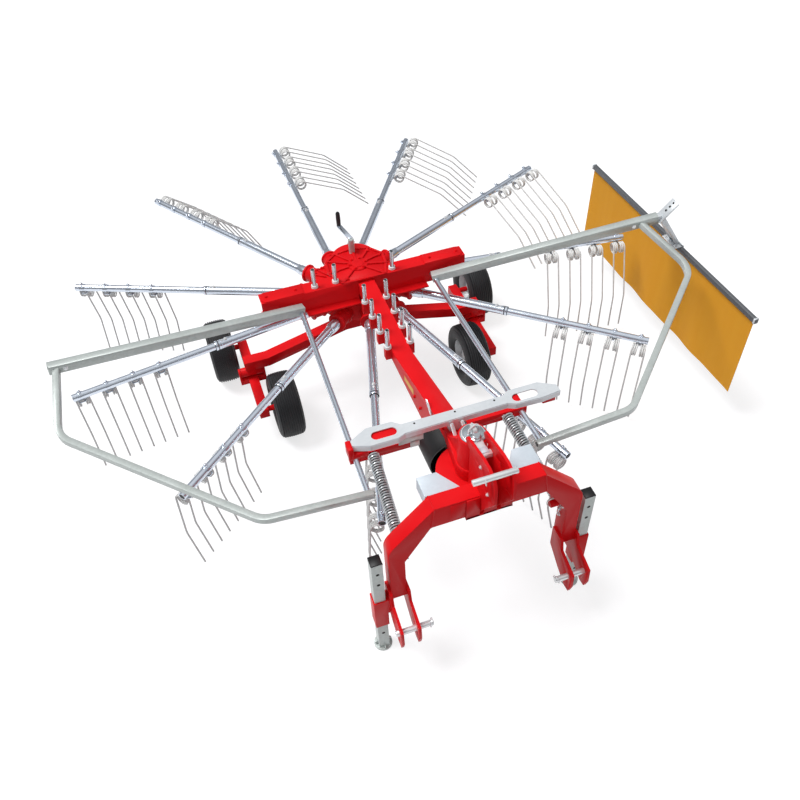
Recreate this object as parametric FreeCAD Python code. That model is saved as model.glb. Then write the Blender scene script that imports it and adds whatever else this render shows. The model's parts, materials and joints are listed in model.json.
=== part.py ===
import FreeCAD, Part
import math
import os

# Single-rotor rotary rake (gyro rake) for a tractor's three-point linkage.
# Millimetres. +X is the swath-curtain side, +Y the rear, +Z up, floor at Z = 0.
# Everything is built with the rotor's axis at X = Y = 0 and moved once, at the
# end, so that the origin is at the middle of the part's bounding box, on the floor.

V = FreeCAD.Vector

# ---------------------------------------------------------------- general
SEAT = 0.3                 # gap between two pieces that are fastened together
RUN = 0.5                  # radial clearance of a pin or shaft that turns
X_AXIS = V(1, 0, 0)
Y_AXIS = V(0, 1, 0)
Z_AXIS = V(0, 0, 1)
ORIGIN = V(0, 0, 0)
BLEND = 0.6                # how far one shape sinks into the other where they are one piece

# ---------------------------------------------------------------- rotor
ARM_Z = 600.0              # height of the tine arms' axes over the floor
ARM_COUNT = 11
FIRST_ARM_DEG = 158.6      # direction of arm 1's tip, counted from +X
ARM_OFFSET = 65.0          # how far each arm's axis passes beside the rotor's axis
ARM_TIP = 1650.0           # distance of the arms' ends from the foot of the offset
ARM_R = 20.0
ARM_WALL = 4.0
ARM_START = 815.0
CARRIER_R = 24.5
CARRIER_START = 245.0
CARRIER_END = 880.0
SOCKET_R = 46.0
SOCKET_START = 205.0
SOCKET_END = 318.0
HUB_R = 235.0
HUB_HEIGHT = 104.0

# ---------------------------------------------------------------- tines
# Turned up or down about the arm by the cam track, in degrees, arm by arm.
ARM_ROLL_DEG = [6.0, 42.0, 61.0, 63.0, 55.0, 16.0, 0.0, 0.0, 0.0, 0.0, 0.0]
TINES_PER_ARM = 4
TINE_PITCH = 140.0
TINE_TIP_GAP = 39.0        # from the arm's end to the middle of the first double tine
TINE_LEG_GAP = 78.0        # between the two legs of a double tine
WIRE_R = 4.75
COIL_R = 30.0              # to the middle of the wire
COIL_LENGTH = 34.0
COIL_DROP = 53.0
COIL_TRAIL = 26.0
BRIDGE_HALF = 22.0
LEG_BEND_DROP = 348.0
LEG_BEND_TRAIL = 77.0
LEG_TIP_DROP = 573.0
LEG_TIP_TRAIL = 22.0

# ---------------------------------------------------------------- main beam
BEAM_HALF = 45.0
BEAM_WALL = 6.0
BEAM_REAR_TOP = 812.0
BEAM_BOTTOM = 737.0
BEAM_RISE_Y = -850.0
BEAM_FRONT_Y = -1610.0
BEAM_FRONT_TOP = 1000.0
BEAM_STEP_Y = -1352.0      # the underside steps up here to clear the shaft guard
BEAM_FRONT_BOTTOM = 912.0
PIVOT_Y = -1687.0
BOSS_R = 60.0
BOSS_BOTTOM = 905.0
BOSS_TOP = 1128.0
FOOT_TOP = 970.0           # the boss and the neck stand on a wider foot
FOOT_R = 67.0
FOOT_REAR_Y = -1505.0
NECK_DROP = 20.0
PIVOT_PIN_R = 25.0
PLATE = 12.0

# ---------------------------------------------------------------- cross beam and axle
CROSS_HALF = 575.0
CROSS_FRONT_Y = -230.0
CROSS_REAR_Y = -145.0
CROSS_BOTTOM = 700.0
CROSS_TOP = 826.0
CROSS_WALL = 8.0
CROSS_FLANGE = 45.0
CROSS_FLANGE_X = 345.0
CROSS_BORE = 80.0
HOUSING_R = 125.0
HOUSING_GAP = 6.0
COLUMN_R = 60.0
COLUMN_BOTTOM = 350.0
AXLE_Y = -45.0
AXLE_Z = 395.0
AXLE_FLAT = 105.0
AXLE_KNEE_X = 590.0
AXLE_KNEE_Z = 318.0
AXLE_WIDTH = 66.0
AXLE_HEIGHT = 60.0
BOGIE_X = 696.0
BOGIE_Y = -95.0
BOGIE_PIVOT_Z = 256.0
BOGIE_TUBE_R = 28.0
BOGIE_TUBE_HALF = 62.0
BOGIE_PIN_R = 16.0
BOGIE_WIDTH = 56.0
EAR = 12.0
EAR_R = 26.0

# ---------------------------------------------------------------- wheels
WHEEL_R = 190.0
WHEEL_WIDTH = 150.0
RIM_R = 100.0
RIM_WALL = 6.0
BEAD_INSET = 22.0          # from the tyre's side to its bead
WHEEL_HUB_R = 36.0
WHEEL_HUB_HALF = 34.0
STUB_R = 16.0
FRONT_WHEEL_X = 566.0
FRONT_WHEEL_Y = -364.0
REAR_WHEEL_X = 826.0
REAR_WHEEL_Y = 209.0

# ---------------------------------------------------------------- driveline
SHAFT_Z = 775.0
SHAFT_R = 24.0
STUB_SHAFT_R = 17.45       # 1 3/8 inch splined power take-off shaft
STUB_SHAFT_LENGTH = 85.0
SHAFT_REAR_Y = -60.0
GUARD_BELL_R = 121.0
BELL_WALL = 5.0
BELL_BACK_Y = -1362.0
BELL_NECK_R = 52.0
BELL_LENGTH = 155.0

# ---------------------------------------------------------------- guards
HINGE_REAR = V(378, -270, 752)
HINGE_FRONT = V(410, -1540, 739)
ROD_R = 14.0
ROD_REAR_Y = -205.0
GUARD_CORNER_A = V(1599, -507, 974)
GUARD_CORNER_B = V(1640, -773, 827)
GUARD_CORNER_C = V(870, -1532, 771)
BOX_WIDTH = 50.0
BOX_HEIGHT = 68.0
BOX_WALL = 4.0
BOX_BORE = 320.0           # depth of the open end that the curtain's bar slides in
HOOP_SIDE = 38.0
HOOP_BEND_R = 60.0
FRONT_BAR_Y = -1322.0
FRONT_BAR_DEPTH = 30.0
FRONT_BAR_HEIGHT = 50.0
FRONT_BAR_HALF = 432.0
LATCH_HALF = 467.0
LATCH_FRONT_Y = -1565.0
LATCH_REAR_Y = -1485.0
LATCH_TOP = 1056.0
LATCH_SKIRT = 36.0
LATCH_WALL = 5.0
LATCH_SLOT = 60.0
LATCH_SLOT_R = 20.0
LATCH_SLOT_X = 350.0
LATCH_FOOT = 44.0

# ---------------------------------------------------------------- storage pegs, crank
PEG_R = 11.0
PEG_LENGTH = 116.0
PEG_COLLAR_R = 17.0
PEG_COLLAR = 14.0
PEG_X = 59.0
PEG_ROWS_Y = [-401.0, -527.0, -650.0, -771.0]
REAR_PEGS = [(-276.0, -197.0), (-160.0, -197.0), (160.0, -197.0)]
CRANK_R = 17.0
CRANK_HEIGHT = 100.0
CRANK_REACH = V(-27, 140, 0)
CRANK_ARM_R = 8.0
GRIP_LENGTH = 95.0
GRIP_R = 13.0

# ---------------------------------------------------------------- headstock
ARCH_SETBACK = 158.0       # from the swivel pin to the middle of the arch
ARCH_Y = PIVOT_Y - ARCH_SETBACK
ARCH_DEPTH = 70.0
ARCH_REAR = ARCH_Y + ARCH_DEPTH / 2
ARCH_FRONT = ARCH_Y - ARCH_DEPTH / 2
ARCH_TOP_Z = 990.0
ARCH_UNDER_Z = 874.0
SHOULDER_X = 238.0
SHOULDER_UNDER_X = 252.0
LEG_INNER_X = 366.0
LEG_OUTER_X = 434.0
KNEE_Z = 786.0
KNEE_UNDER_Z = 689.0
KNEE_R = 95.0
LEG_BOTTOM_Z = 430.0
MAST_GAP = 64.0
TOP_PIN_LEAD = 117.0       # how far the top-link pin stands before the arch's middle
TOP_PIN_Y = ARCH_Y - TOP_PIN_LEAD
TOP_PIN_Z = 1203.0
TOP_PIN_R = 12.5
TOP_PIN_ENDS = (-120.0, 60.0)
MAST_HOLE_R = 5.0
MAST_HOLES = [(-1939.0, 1070.0), (-1866.0, 1151.0)]
MAST_TIP_Y = -1738.0       # rounded rear ends of the mast plates, over the boss
MAST_TIP_Z = 1156.0
MAST_TIP_R = 20.0
MAST_NOSE = [(-2000.0, 1080.0), (-1996.0, 1166.0), (-1975.0, 1200.0), (-1932.0, 1216.0), (-1880.0, 1212.0)]
MAST_CLEAR = 5.0           # between the boss's foot and what swings around it
SWIVEL_R = 148.0
SWIVEL_THICK = 20.0
EYE_R = 48.0
EYE_THICK = 10.0
RING_R = 26.0
RING_HALF = 9.0
FLAG_HALF = 20.0
FLAG_FRONT_Y = -1786.0
STOP_DEPTH = 24.0
STOP_DROP = 12.0
LINK_PIN_LEAD = 153.0
LINK_PIN_Y = ARCH_Y - LINK_PIN_LEAD
LINK_PIN_Z = 345.0
LINK_PIN_R = 14.0
LINK_PIN_INNER = 290.0
STAND_X = 484.0
LUG_STEP = 10.0
TIE_DROP = 30.0
STAND_Y = ARCH_Y
STAND_SIDE = 50.0
STAND_LENGTH = 708.0
STAND_FOOT_R = 43.0
SLEEVE_BOTTOM = 215.0
SLEEVE_TOP = 420.0
SLEEVE_WALL = 6.0
SPRING_R = 28.0
SPRING_EYE_R = 8.0
SPRING_REAR = V(326, -1346, 752)
SPRING_FRONT = V(356, -1796, 692)
SPRING_BOX = [(102.0, 0.0), (250.0, 0.0), (250.0, 100.0), (165.0, 100.0)]
SPRING_BOX_HEIGHT = 68.0
SPRING_BOLT_X = 347.0
SPRING_BOLT_Z = 674.0
SPRING_BOLT_R = 7.0

# ---------------------------------------------------------------- swath curtain
RAIL_FRONT = V(1782, -1209, 750)
RAIL_REAR = V(1741, 425, 750)
RAIL_SIDE = 40.0
CURTAIN_DROP = 520.0
CURTAIN_THICK = 4.0


# ================================================================ shape helpers
def rod(start, end, radius):
    """Solid round bar from start to end."""
    run = end - start
    return Part.makeCylinder(radius, run.Length, start, run)


def pipe(start, end, radius, bore):
    """Round tube from start to end."""
    return rod(start, end, radius).cut(rod(start, end, bore))


def block(x0, x1, y0, y1, z0, z1):
    """Box between the given coordinates."""
    low = V(min(x0, x1), min(y0, y1), min(z0, z1))
    return Part.makeBox(abs(x1 - x0), abs(y1 - y0), abs(z1 - z0), low)


def frame_of(run, up=Z_AXIS):
    """Unit vectors (along, across, above) of a bar that runs along run."""
    along = V(run).normalize()
    across = along.cross(up).normalize()
    above = across.cross(along)
    return along, across, above


def square_face(centre, across, above, width, height):
    """Rectangular face about centre."""
    a = across * (width / 2)
    b = above * (height / 2)
    corners = [centre - a - b, centre + a - b, centre + a + b, centre - a + b]
    return Part.Face(Part.makePolygon(corners + [corners[0]]))


def bar(start, end, width, height, up=Z_AXIS):
    """Rectangular bar from start to end, width across and height towards up."""
    run = end - start
    _, across, above = frame_of(run, up)
    return square_face(start, across, above, width, height).extrude(run)


def profile_x(points, x0, x1):
    """Outline of (y, z) points, extruded from x0 to x1."""
    corners = [V(x0, y, z) for y, z in points]
    face = Part.Face(Part.makePolygon(corners + [corners[0]]))
    return face.extrude(V(x1 - x0, 0, 0))


def profile_y(points, y0, y1):
    """Prism with a polygon of (x, z) points, from y0 to y1."""
    wire = Part.makePolygon([V(x, y0, z) for x, z in points + points[:1]])
    return Part.Face(wire).extrude(V(0, y1 - y0, 0))


def rounded_path(points, radius):
    """Wire of straight runs with an arc of the given radius at each inner point."""
    edges = []
    here = points[0]
    for before, corner, after in zip(points, points[1:], points[2:]):
        back = V(before - corner).normalize()
        ahead = V(after - corner).normalize()
        half_angle = back.getAngle(ahead) / 2
        reach = radius / math.tan(half_angle)
        first = corner + back * reach
        last = corner + ahead * reach
        inward = V(back + ahead).normalize()
        middle = corner + inward * (radius / math.sin(half_angle) - radius)
        edges.append(Part.LineSegment(here, first).toShape())
        edges.append(Part.Arc(first, middle, last).toShape())
        here = last
    edges.append(Part.LineSegment(here, points[-1]).toShape())
    return Part.Wire(edges)


def square_pipe(points, radius, side):
    """Square bar that follows rounded_path(points, radius)."""
    path = rounded_path(points, radius)
    _, across, above = frame_of(points[1] - points[0])
    profile = square_face(points[0], across, above, side, side).OuterWire
    return path.makePipeShell([profile], True, False)


def fuse(shapes):
    """One solid from shapes that meet."""
    return shapes[0].multiFuse(shapes[1:]).removeSplitter()


def mirrored(shape):
    """The same shape on the other side of the machine."""
    return shape.mirror(ORIGIN, X_AXIS)


def both(shape):
    """A shape and its mirror image."""
    return [shape, mirrored(shape)]


# ================================================================ rotor
def arm_angle(index):
    """Direction of an arm's axis, in degrees from +X."""
    lean = math.degrees(math.asin(ARM_OFFSET / ARM_TIP))
    return FIRST_ARM_DEG - 360.0 / ARM_COUNT * index - lean


def arm_frame(index):
    """Outward unit vector of an arm and the point of its axis nearest the rotor's axis."""
    angle = math.radians(arm_angle(index))
    outward = V(math.cos(angle), math.sin(angle), 0)
    sideways = V(-math.sin(angle), math.cos(angle), 0)
    return outward, sideways * ARM_OFFSET + V(0, 0, ARM_Z)


def along_arm(index, start, end):
    """The two ends of a stretch of an arm's axis."""
    outward, foot = arm_frame(index)
    return foot + outward * start, foot + outward * end


def rotor_hub():
    """Rotor drum with a socket for every arm carrier."""
    base = V(0, 0, ARM_Z - HUB_HEIGHT / 2)
    drum = Part.makeCylinder(HUB_R, HUB_HEIGHT, base)
    sockets = [rod(*along_arm(i, SOCKET_START, SOCKET_END), SOCKET_R) for i in range(ARM_COUNT)]
    hub = fuse([drum] + sockets)
    hub = hub.cut(Part.makeCylinder(COLUMN_R + RUN, HUB_HEIGHT, base))
    for index in range(ARM_COUNT):
        start, end = along_arm(index, CARRIER_START - SEAT, SOCKET_END)
        hub = hub.cut(rod(start, end, CARRIER_R + SEAT))
    return [hub]


def arm_carriers():
    """The bearing shafts that stand out of the drum, one for each arm."""
    shafts = []
    for index in range(ARM_COUNT):
        start, end = along_arm(index, CARRIER_START, CARRIER_END)
        seat, _ = along_arm(index, ARM_START - SEAT, end.Length)
        shaft = rod(start, end, CARRIER_R)
        shafts.append(shaft.cut(rod(seat, end, ARM_R + SEAT)))
    return shafts


def tine_arm(index):
    """Outer tube of one arm, pushed into its carrier."""
    start, end = along_arm(index, ARM_START, ARM_TIP)
    return [pipe(start, end, ARM_R, ARM_R - ARM_WALL)]


def tine_point(reach, drop, trail):
    """Point beside an arm that lies along X: drop below it and trail behind it."""
    return V(reach, -trail, -drop)


def tine_leg(reach):
    """One sprung leg: from its coil down to the bend and on to the tip."""
    slope = math.hypot(LEG_BEND_DROP - COIL_DROP, LEG_BEND_TRAIL - COIL_TRAIL)
    turn = math.atan2(LEG_BEND_TRAIL - COIL_TRAIL, LEG_BEND_DROP - COIL_DROP)
    lean = turn - math.asin(COIL_R / slope)
    start = tine_point(reach, COIL_DROP - COIL_R * math.sin(lean), COIL_TRAIL + COIL_R * math.cos(lean))
    bend = tine_point(reach, LEG_BEND_DROP, LEG_BEND_TRAIL)
    tip = tine_point(reach, LEG_TIP_DROP, LEG_TIP_TRAIL)
    return [rod(start, bend, WIRE_R), Part.makeSphere(WIRE_R, bend), rod(bend, tip, WIRE_R)]


def double_tine():
    """Two coils, their legs and the bridge that is clamped under the arm, about X = 0."""
    pieces = []
    for side in (-1, 1):
        leg = side * TINE_LEG_GAP / 2
        coil_ends = [tine_point(r, COIL_DROP, COIL_TRAIL) for r in (leg, leg - side * COIL_LENGTH)]
        pieces.append(pipe(*coil_ends, COIL_R + WIRE_R + BLEND, COIL_R - WIRE_R - BLEND))
        pieces += tine_leg(leg - side * (WIRE_R + BLEND))
    seat = ARM_R + SEAT + WIRE_R
    bridge = [tine_point(side * BRIDGE_HALF, seat, 0) for side in (-1, 1)]
    return fuse(pieces + [rod(*bridge, WIRE_R)])


def tines(index, pattern):
    """The double tines of one arm, as copies of pattern turned with the arm."""
    sets = []
    for number in range(TINES_PER_ARM):
        reach = ARM_TIP - TINE_TIP_GAP - TINE_PITCH * number
        tine = pattern.copy()
        tine.rotate(ORIGIN, X_AXIS, -ARM_ROLL_DEG[index])
        tine.translate(V(reach, ARM_OFFSET, ARM_Z))
        tine.rotate(ORIGIN, Z_AXIS, arm_angle(index))
        sets.append(tine)
    return sets


# ================================================================ frame
def beam_top(y):
    """Height of the main beam's top at y."""
    if y >= BEAM_RISE_Y:
        return BEAM_REAR_TOP
    share = (y - BEAM_RISE_Y) / (BEAM_FRONT_Y - BEAM_RISE_Y)
    return BEAM_REAR_TOP + share * (BEAM_FRONT_TOP - BEAM_REAR_TOP)


def gear_housing():
    """Standing gear case over the drum."""
    low = ARM_Z + HUB_HEIGHT / 2 + HOUSING_GAP
    case = Part.makeCylinder(HOUSING_R, BEAM_REAR_TOP - low, V(0, 0, low))
    mouth = V(0, SHAFT_REAR_Y + RUN, SHAFT_Z)
    front = V(0, -HOUSING_R - 1, SHAFT_Z)
    return [case.cut(rod(mouth, front, SHAFT_R + RUN))]


def neck_foot():
    """Foot under the beam's neck, as wide at the swivel as the boss's own foot."""
    outline = [(-BEAM_HALF, FOOT_REAR_Y), (BEAM_HALF, FOOT_REAR_Y), (FOOT_R, PIVOT_Y), (-FOOT_R, PIVOT_Y)]
    wire = Part.makePolygon([V(x, y, BOSS_BOTTOM) for x, y in outline + outline[:1]])
    return Part.Face(wire).extrude(V(0, 0, FOOT_TOP - BOSS_BOTTOM))


def main_beam():
    """Channel beam from the gear case to the swivel boss, with the peg lugs."""
    rear = -HOUSING_R * 0.9
    outline = [(rear, BEAM_BOTTOM), (BEAM_STEP_Y, BEAM_BOTTOM), (BEAM_STEP_Y, BEAM_FRONT_BOTTOM),
               (BEAM_FRONT_Y, BEAM_FRONT_BOTTOM), (BEAM_FRONT_Y, BEAM_FRONT_TOP),
               (BEAM_RISE_Y, BEAM_REAR_TOP), (rear, BEAM_REAR_TOP)]
    beam = profile_x(outline, -BEAM_HALF, BEAM_HALF)
    room = [(rear + 1, BEAM_BOTTOM - 1), (BEAM_STEP_Y + BEAM_WALL, BEAM_BOTTOM - 1),
            (BEAM_STEP_Y + BEAM_WALL, beam_top(BEAM_STEP_Y) - BEAM_WALL),
            (BEAM_RISE_Y, BEAM_REAR_TOP - BEAM_WALL), (rear + 1, BEAM_REAR_TOP - BEAM_WALL)]
    beam = beam.cut(profile_x(room, -BEAM_HALF + BEAM_WALL, BEAM_HALF - BEAM_WALL))
    beam = beam.cut(rod(V(0, BEAM_STEP_Y - 1, SHAFT_Z), V(0, BEAM_STEP_Y + 20, SHAFT_Z), SHAFT_R + 6))
    boss = rod(V(0, PIVOT_Y, BOSS_BOTTOM), V(0, PIVOT_Y, BOSS_TOP), BOSS_R)
    neck = profile_x([(BEAM_FRONT_Y + BOSS_R, BEAM_FRONT_BOTTOM), (PIVOT_Y, BEAM_FRONT_BOTTOM),
                      (PIVOT_Y, BOSS_TOP - NECK_DROP), (BEAM_FRONT_Y + BOSS_R, beam_top(BEAM_FRONT_Y + BOSS_R))],
                     -BEAM_HALF, BEAM_HALF)
    foot = fuse([rod(V(0, PIVOT_Y, BOSS_BOTTOM), V(0, PIVOT_Y, FOOT_TOP), FOOT_R), neck_foot()])
    lugs = []
    for y in PEG_ROWS_Y:
        lug = block(BEAM_HALF, PEG_X + PEG_COLLAR_R, y - PEG_COLLAR_R, y + PEG_COLLAR_R,
                    BEAM_REAR_TOP - 66, BEAM_REAR_TOP)
        lugs += both(lug)
    beam = fuse([beam, neck, boss, foot] + lugs)
    case = Part.makeCylinder(HOUSING_R + SEAT, 400, V(0, 0, BEAM_BOTTOM - 100))
    pin = rod(V(0, PIVOT_Y, BOSS_BOTTOM - 1), V(0, PIVOT_Y, BOSS_TOP + 1), PIVOT_PIN_R + RUN)
    return [beam.cut(case).cut(pin)]


def cross_beam():
    """Two channel halves of the beam that carries the guards, on the main beam's sides."""
    web = block(BEAM_HALF + SEAT, CROSS_HALF, CROSS_FRONT_Y, CROSS_REAR_Y, CROSS_BOTTOM, CROSS_TOP)
    room = block(BEAM_HALF + SEAT + CROSS_WALL, CROSS_HALF + 1, CROSS_FRONT_Y + CROSS_WALL, CROSS_REAR_Y + 1,
                 CROSS_BOTTOM + CROSS_WALL, CROSS_TOP - CROSS_WALL)
    flange = block(BEAM_HALF + SEAT, CROSS_FLANGE_X, CROSS_FRONT_Y - CROSS_FLANGE, CROSS_FRONT_Y, CROSS_BOTTOM,
                   CROSS_BOTTOM + CROSS_WALL)
    along = hinge_direction()
    rear = hinge_point(CROSS_REAR_Y)
    front = hinge_point(CROSS_FRONT_Y)
    half = fuse([web.cut(room), flange, rod(front, rear, ROD_R + CROSS_WALL)])
    bore = Part.makeCylinder(ROD_R + RUN, CROSS_BORE, hinge_point(CROSS_FRONT_Y - 5), along * -1)
    return both(half.cut(bore))


def front_bar():
    """Lower bar under the latch bar, with the front bearings of the guards."""
    half = block(BEAM_HALF + SEAT, FRONT_BAR_HALF, FRONT_BAR_Y - FRONT_BAR_DEPTH / 2,
                 FRONT_BAR_Y + FRONT_BAR_DEPTH / 2,
                 hinge_point(FRONT_BAR_Y).z - FRONT_BAR_HEIGHT / 2,
                 hinge_point(FRONT_BAR_Y).z + FRONT_BAR_HEIGHT / 2)
    start = hinge_point(FRONT_BAR_Y + FRONT_BAR_DEPTH)
    bore = Part.makeCylinder(ROD_R + RUN, 2 * FRONT_BAR_DEPTH, start, hinge_direction())
    return both(half.cut(bore))


def latch_bar():
    """Channel over the beam's front that the raised guards lie against, with a slot near each end."""
    plate = block(-LATCH_HALF, LATCH_HALF, LATCH_FRONT_Y, LATCH_REAR_Y, LATCH_TOP - LATCH_SKIRT, LATCH_TOP)
    room = block(-LATCH_HALF - 1, LATCH_HALF + 1, LATCH_FRONT_Y + LATCH_WALL, LATCH_REAR_Y - LATCH_WALL,
                 LATCH_TOP - LATCH_SKIRT - 1, LATCH_TOP - LATCH_WALL)
    plate = plate.cut(room)
    middle = (LATCH_FRONT_Y + LATCH_REAR_Y) / 2
    reach = V(LATCH_SLOT / 2, 0, 0)
    for x in (-LATCH_SLOT_X, LATCH_SLOT_X):
        low = V(x, middle, LATCH_TOP - LATCH_WALL - 1)
        up = V(0, 0, LATCH_WALL + 2)
        ends = [rod(low - reach, low - reach + up, LATCH_SLOT_R), rod(low + reach, low + reach + up, LATCH_SLOT_R)]
        bridge = block(x - LATCH_SLOT / 2, x + LATCH_SLOT / 2, middle - LATCH_SLOT_R, middle + LATCH_SLOT_R,
                       low.z, low.z + up.z)
        plate = plate.cut(fuse(ends + [bridge]))
    rear = middle + LATCH_FOOT / 2
    front = middle - LATCH_FOOT / 2
    foot = profile_x([(front, beam_top(front) + SEAT), (rear, beam_top(rear) + SEAT),
                      (rear, LATCH_TOP - LATCH_WALL), (front, LATCH_TOP - LATCH_WALL)], -BEAM_HALF, BEAM_HALF)
    return [fuse([plate, foot])]


def storage_pegs():
    """Pegs that hold the tine arms for transport."""
    places = [(side * PEG_X, y, BEAM_REAR_TOP) for y in PEG_ROWS_Y for side in (-1, 1)]
    places += [(x, y, CROSS_TOP) for x, y in REAR_PEGS]
    pegs = []
    for x, y, z in places:
        foot = V(x, y, z + SEAT)
        tube = pipe(foot, foot + V(0, 0, PEG_LENGTH), PEG_R, PEG_R - 3)
        collar = pipe(foot, foot + V(0, 0, PEG_COLLAR), PEG_COLLAR_R, PEG_R - 3)
        pegs.append(fuse([collar, tube]))
    return pegs


def height_crank():
    """Crank of the rotor's height screw."""
    foot = V(0, 25, BEAM_REAR_TOP + SEAT)
    top = foot + V(0, 0, CRANK_HEIGHT)
    elbow = top + CRANK_REACH
    grip = rod(elbow, elbow + V(0, 0, GRIP_LENGTH), GRIP_R)
    pieces = [rod(foot, top, CRANK_R), Part.makeSphere(CRANK_R - 5, top), rod(top, elbow, CRANK_ARM_R),
              Part.makeSphere(CRANK_ARM_R, elbow), grip]
    return [fuse(pieces)]


def axle():
    """Bent axle with the column that the rotor turns about."""
    top = ARM_Z + HUB_HEIGHT / 2 + HOUSING_GAP - SEAT
    column = rod(V(0, 0, COLUMN_BOTTOM), V(0, 0, top), COLUMN_R)
    shoulder = block(-COLUMN_R, COLUMN_R, AXLE_Y - AXLE_WIDTH / 2, 0, AXLE_Z - AXLE_HEIGHT / 2,
                     AXLE_Z + AXLE_HEIGHT / 2)
    pieces = [column, shoulder]
    points = [V(0, AXLE_Y, AXLE_Z), V(AXLE_FLAT, AXLE_Y, AXLE_Z),
              V(AXLE_KNEE_X, BOGIE_Y, AXLE_KNEE_Z), V(BOGIE_X + AXLE_WIDTH / 2, BOGIE_Y, AXLE_KNEE_Z)]
    side = []
    for start, end in zip(points, points[1:]):
        side.append(bar(start, end, AXLE_WIDTH, AXLE_HEIGHT))
    for corner in points[1:-1]:
        half_height = V(0, 0, AXLE_HEIGHT / 2)
        side.append(rod(corner - half_height, corner + half_height, AXLE_WIDTH / 2))
    tube_start = V(BOGIE_X - BOGIE_TUBE_HALF, BOGIE_Y, BOGIE_PIVOT_Z)
    tube_end = V(BOGIE_X + BOGIE_TUBE_HALF, BOGIE_Y, BOGIE_PIVOT_Z)
    side.append(rod(tube_start, tube_end, BOGIE_TUBE_R))
    side.append(block(BOGIE_X - EAR_R, BOGIE_X + EAR_R, BOGIE_Y - BOGIE_TUBE_R, BOGIE_Y + BOGIE_TUBE_R,
                      BOGIE_PIVOT_Z, AXLE_KNEE_Z))
    bore = rod(tube_start - X_AXIS, tube_end + X_AXIS, BOGIE_PIN_R + RUN)
    half = fuse(side).cut(bore)
    pieces += both(half)
    return [fuse(pieces)]


def bogie():
    """Rocking beam on the +X side with its two ears, pivot pin and stub axles."""
    low = BOGIE_PIVOT_Z - BOGIE_TUBE_R - 6
    x0 = BOGIE_X - BOGIE_WIDTH / 2
    x1 = BOGIE_X + BOGIE_WIDTH / 2
    outline = [(FRONT_WHEEL_Y - 34, WHEEL_R - 30), (REAR_WHEEL_Y + 34, WHEEL_R - 30),
               (REAR_WHEEL_Y + 34, WHEEL_R + 30), (BOGIE_Y + 60, low), (BOGIE_Y - 60, low),
               (FRONT_WHEEL_Y - 34, WHEEL_R + 30)]
    pieces = [profile_x(outline, x0, x1)]
    ear_inner = BOGIE_TUBE_HALF + 2
    for side in (-1, 1):
        near = BOGIE_X + side * ear_inner
        far = near + side * EAR
        pieces.append(block(near, far, BOGIE_Y - EAR_R, BOGIE_Y + EAR_R, low - 40, BOGIE_PIVOT_Z))
        pieces.append(rod(V(near, BOGIE_Y, BOGIE_PIVOT_Z), V(far, BOGIE_Y, BOGIE_PIVOT_Z), EAR_R))
    reach = ear_inner + EAR
    pieces.append(block(BOGIE_X - reach, BOGIE_X + reach, BOGIE_Y - EAR_R, BOGIE_Y + EAR_R, low - 40, low - 2))
    pieces.append(rod(V(BOGIE_X - reach, BOGIE_Y, BOGIE_PIVOT_Z), V(BOGIE_X + reach, BOGIE_Y, BOGIE_PIVOT_Z),
                      BOGIE_PIN_R))
    for wheel_x, wheel_y in ((FRONT_WHEEL_X, FRONT_WHEEL_Y), (REAR_WHEEL_X, REAR_WHEEL_Y)):
        away = 1 if wheel_x > BOGIE_X else -1
        pieces.append(rod(V(BOGIE_X, wheel_y, WHEEL_R), V(wheel_x + away * 40, wheel_y, WHEEL_R), STUB_R))
    return [fuse(pieces)]


# ================================================================ wheels
def revolve_x(points, centre_x, y, z):
    """Turn an outline of (offset along x, radius) points about a wheel's axis."""
    corners = [V(centre_x + across, y, z + radius) for across, radius in points]
    face = Part.Face(Part.makePolygon(corners + [corners[0]]))
    return face.revolve(V(centre_x, y, z), X_AXIS, 360)


def tyre(x, y):
    """Tyre with rounded shoulders."""
    half = WHEEL_WIDTH / 2
    side = [(half - BEAD_INSET, RIM_R + SEAT), (half, RIM_R + 22), (half, WHEEL_R - 34),
            (half - 12, WHEEL_R - 12), (half - 32, WHEEL_R)]
    outline = side + [(-across, radius) for across, radius in reversed(side)]
    return [revolve_x(outline, x, y, WHEEL_R)]


def rim(x, y):
    """Dished rim with its hub."""
    half = WHEEL_WIDTH / 2 - BEAD_INSET
    disc = RIM_WALL
    side = [(half, RIM_R), (half, RIM_R - RIM_WALL), (disc, RIM_R - RIM_WALL), (disc, WHEEL_HUB_R),
            (WHEEL_HUB_HALF, WHEEL_HUB_R), (WHEEL_HUB_HALF, STUB_R + RUN)]
    outline = side + [(-across, radius) for across, radius in reversed(side)]
    return [revolve_x(outline, x, y, WHEEL_R)]


# ================================================================ driveline
def pto_shaft():
    """Input shaft from the gear case to the splined end in the bell."""
    rear = V(0, SHAFT_REAR_Y, SHAFT_Z)
    step = V(0, BELL_BACK_Y - BELL_WALL - 12, SHAFT_Z)
    end = step - V(0, STUB_SHAFT_LENGTH, 0)
    return [fuse([rod(rear, step, SHAFT_R), rod(step, end, STUB_SHAFT_R)])]


def pto_guard():
    """Bell over the splined end."""
    back = V(0, BELL_BACK_Y, SHAFT_Z)
    front = back - V(0, BELL_LENGTH, 0)
    cup = rod(back, front, GUARD_BELL_R)
    cup = cup.cut(rod(back - V(0, BELL_WALL, 0), front - Y_AXIS, GUARD_BELL_R - BELL_WALL))
    seat = V(0, BEAM_STEP_Y - SEAT, SHAFT_Z)
    cup = fuse([cup, rod(seat, back - Y_AXIS, BELL_NECK_R)])
    return [cup.cut(rod(seat + Y_AXIS, front, SHAFT_R + 6))]


# ================================================================ guards
def hinge_direction():
    """Unit vector along the +X guard's hinge, forwards."""
    return V(HINGE_FRONT - HINGE_REAR).normalize()


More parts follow.
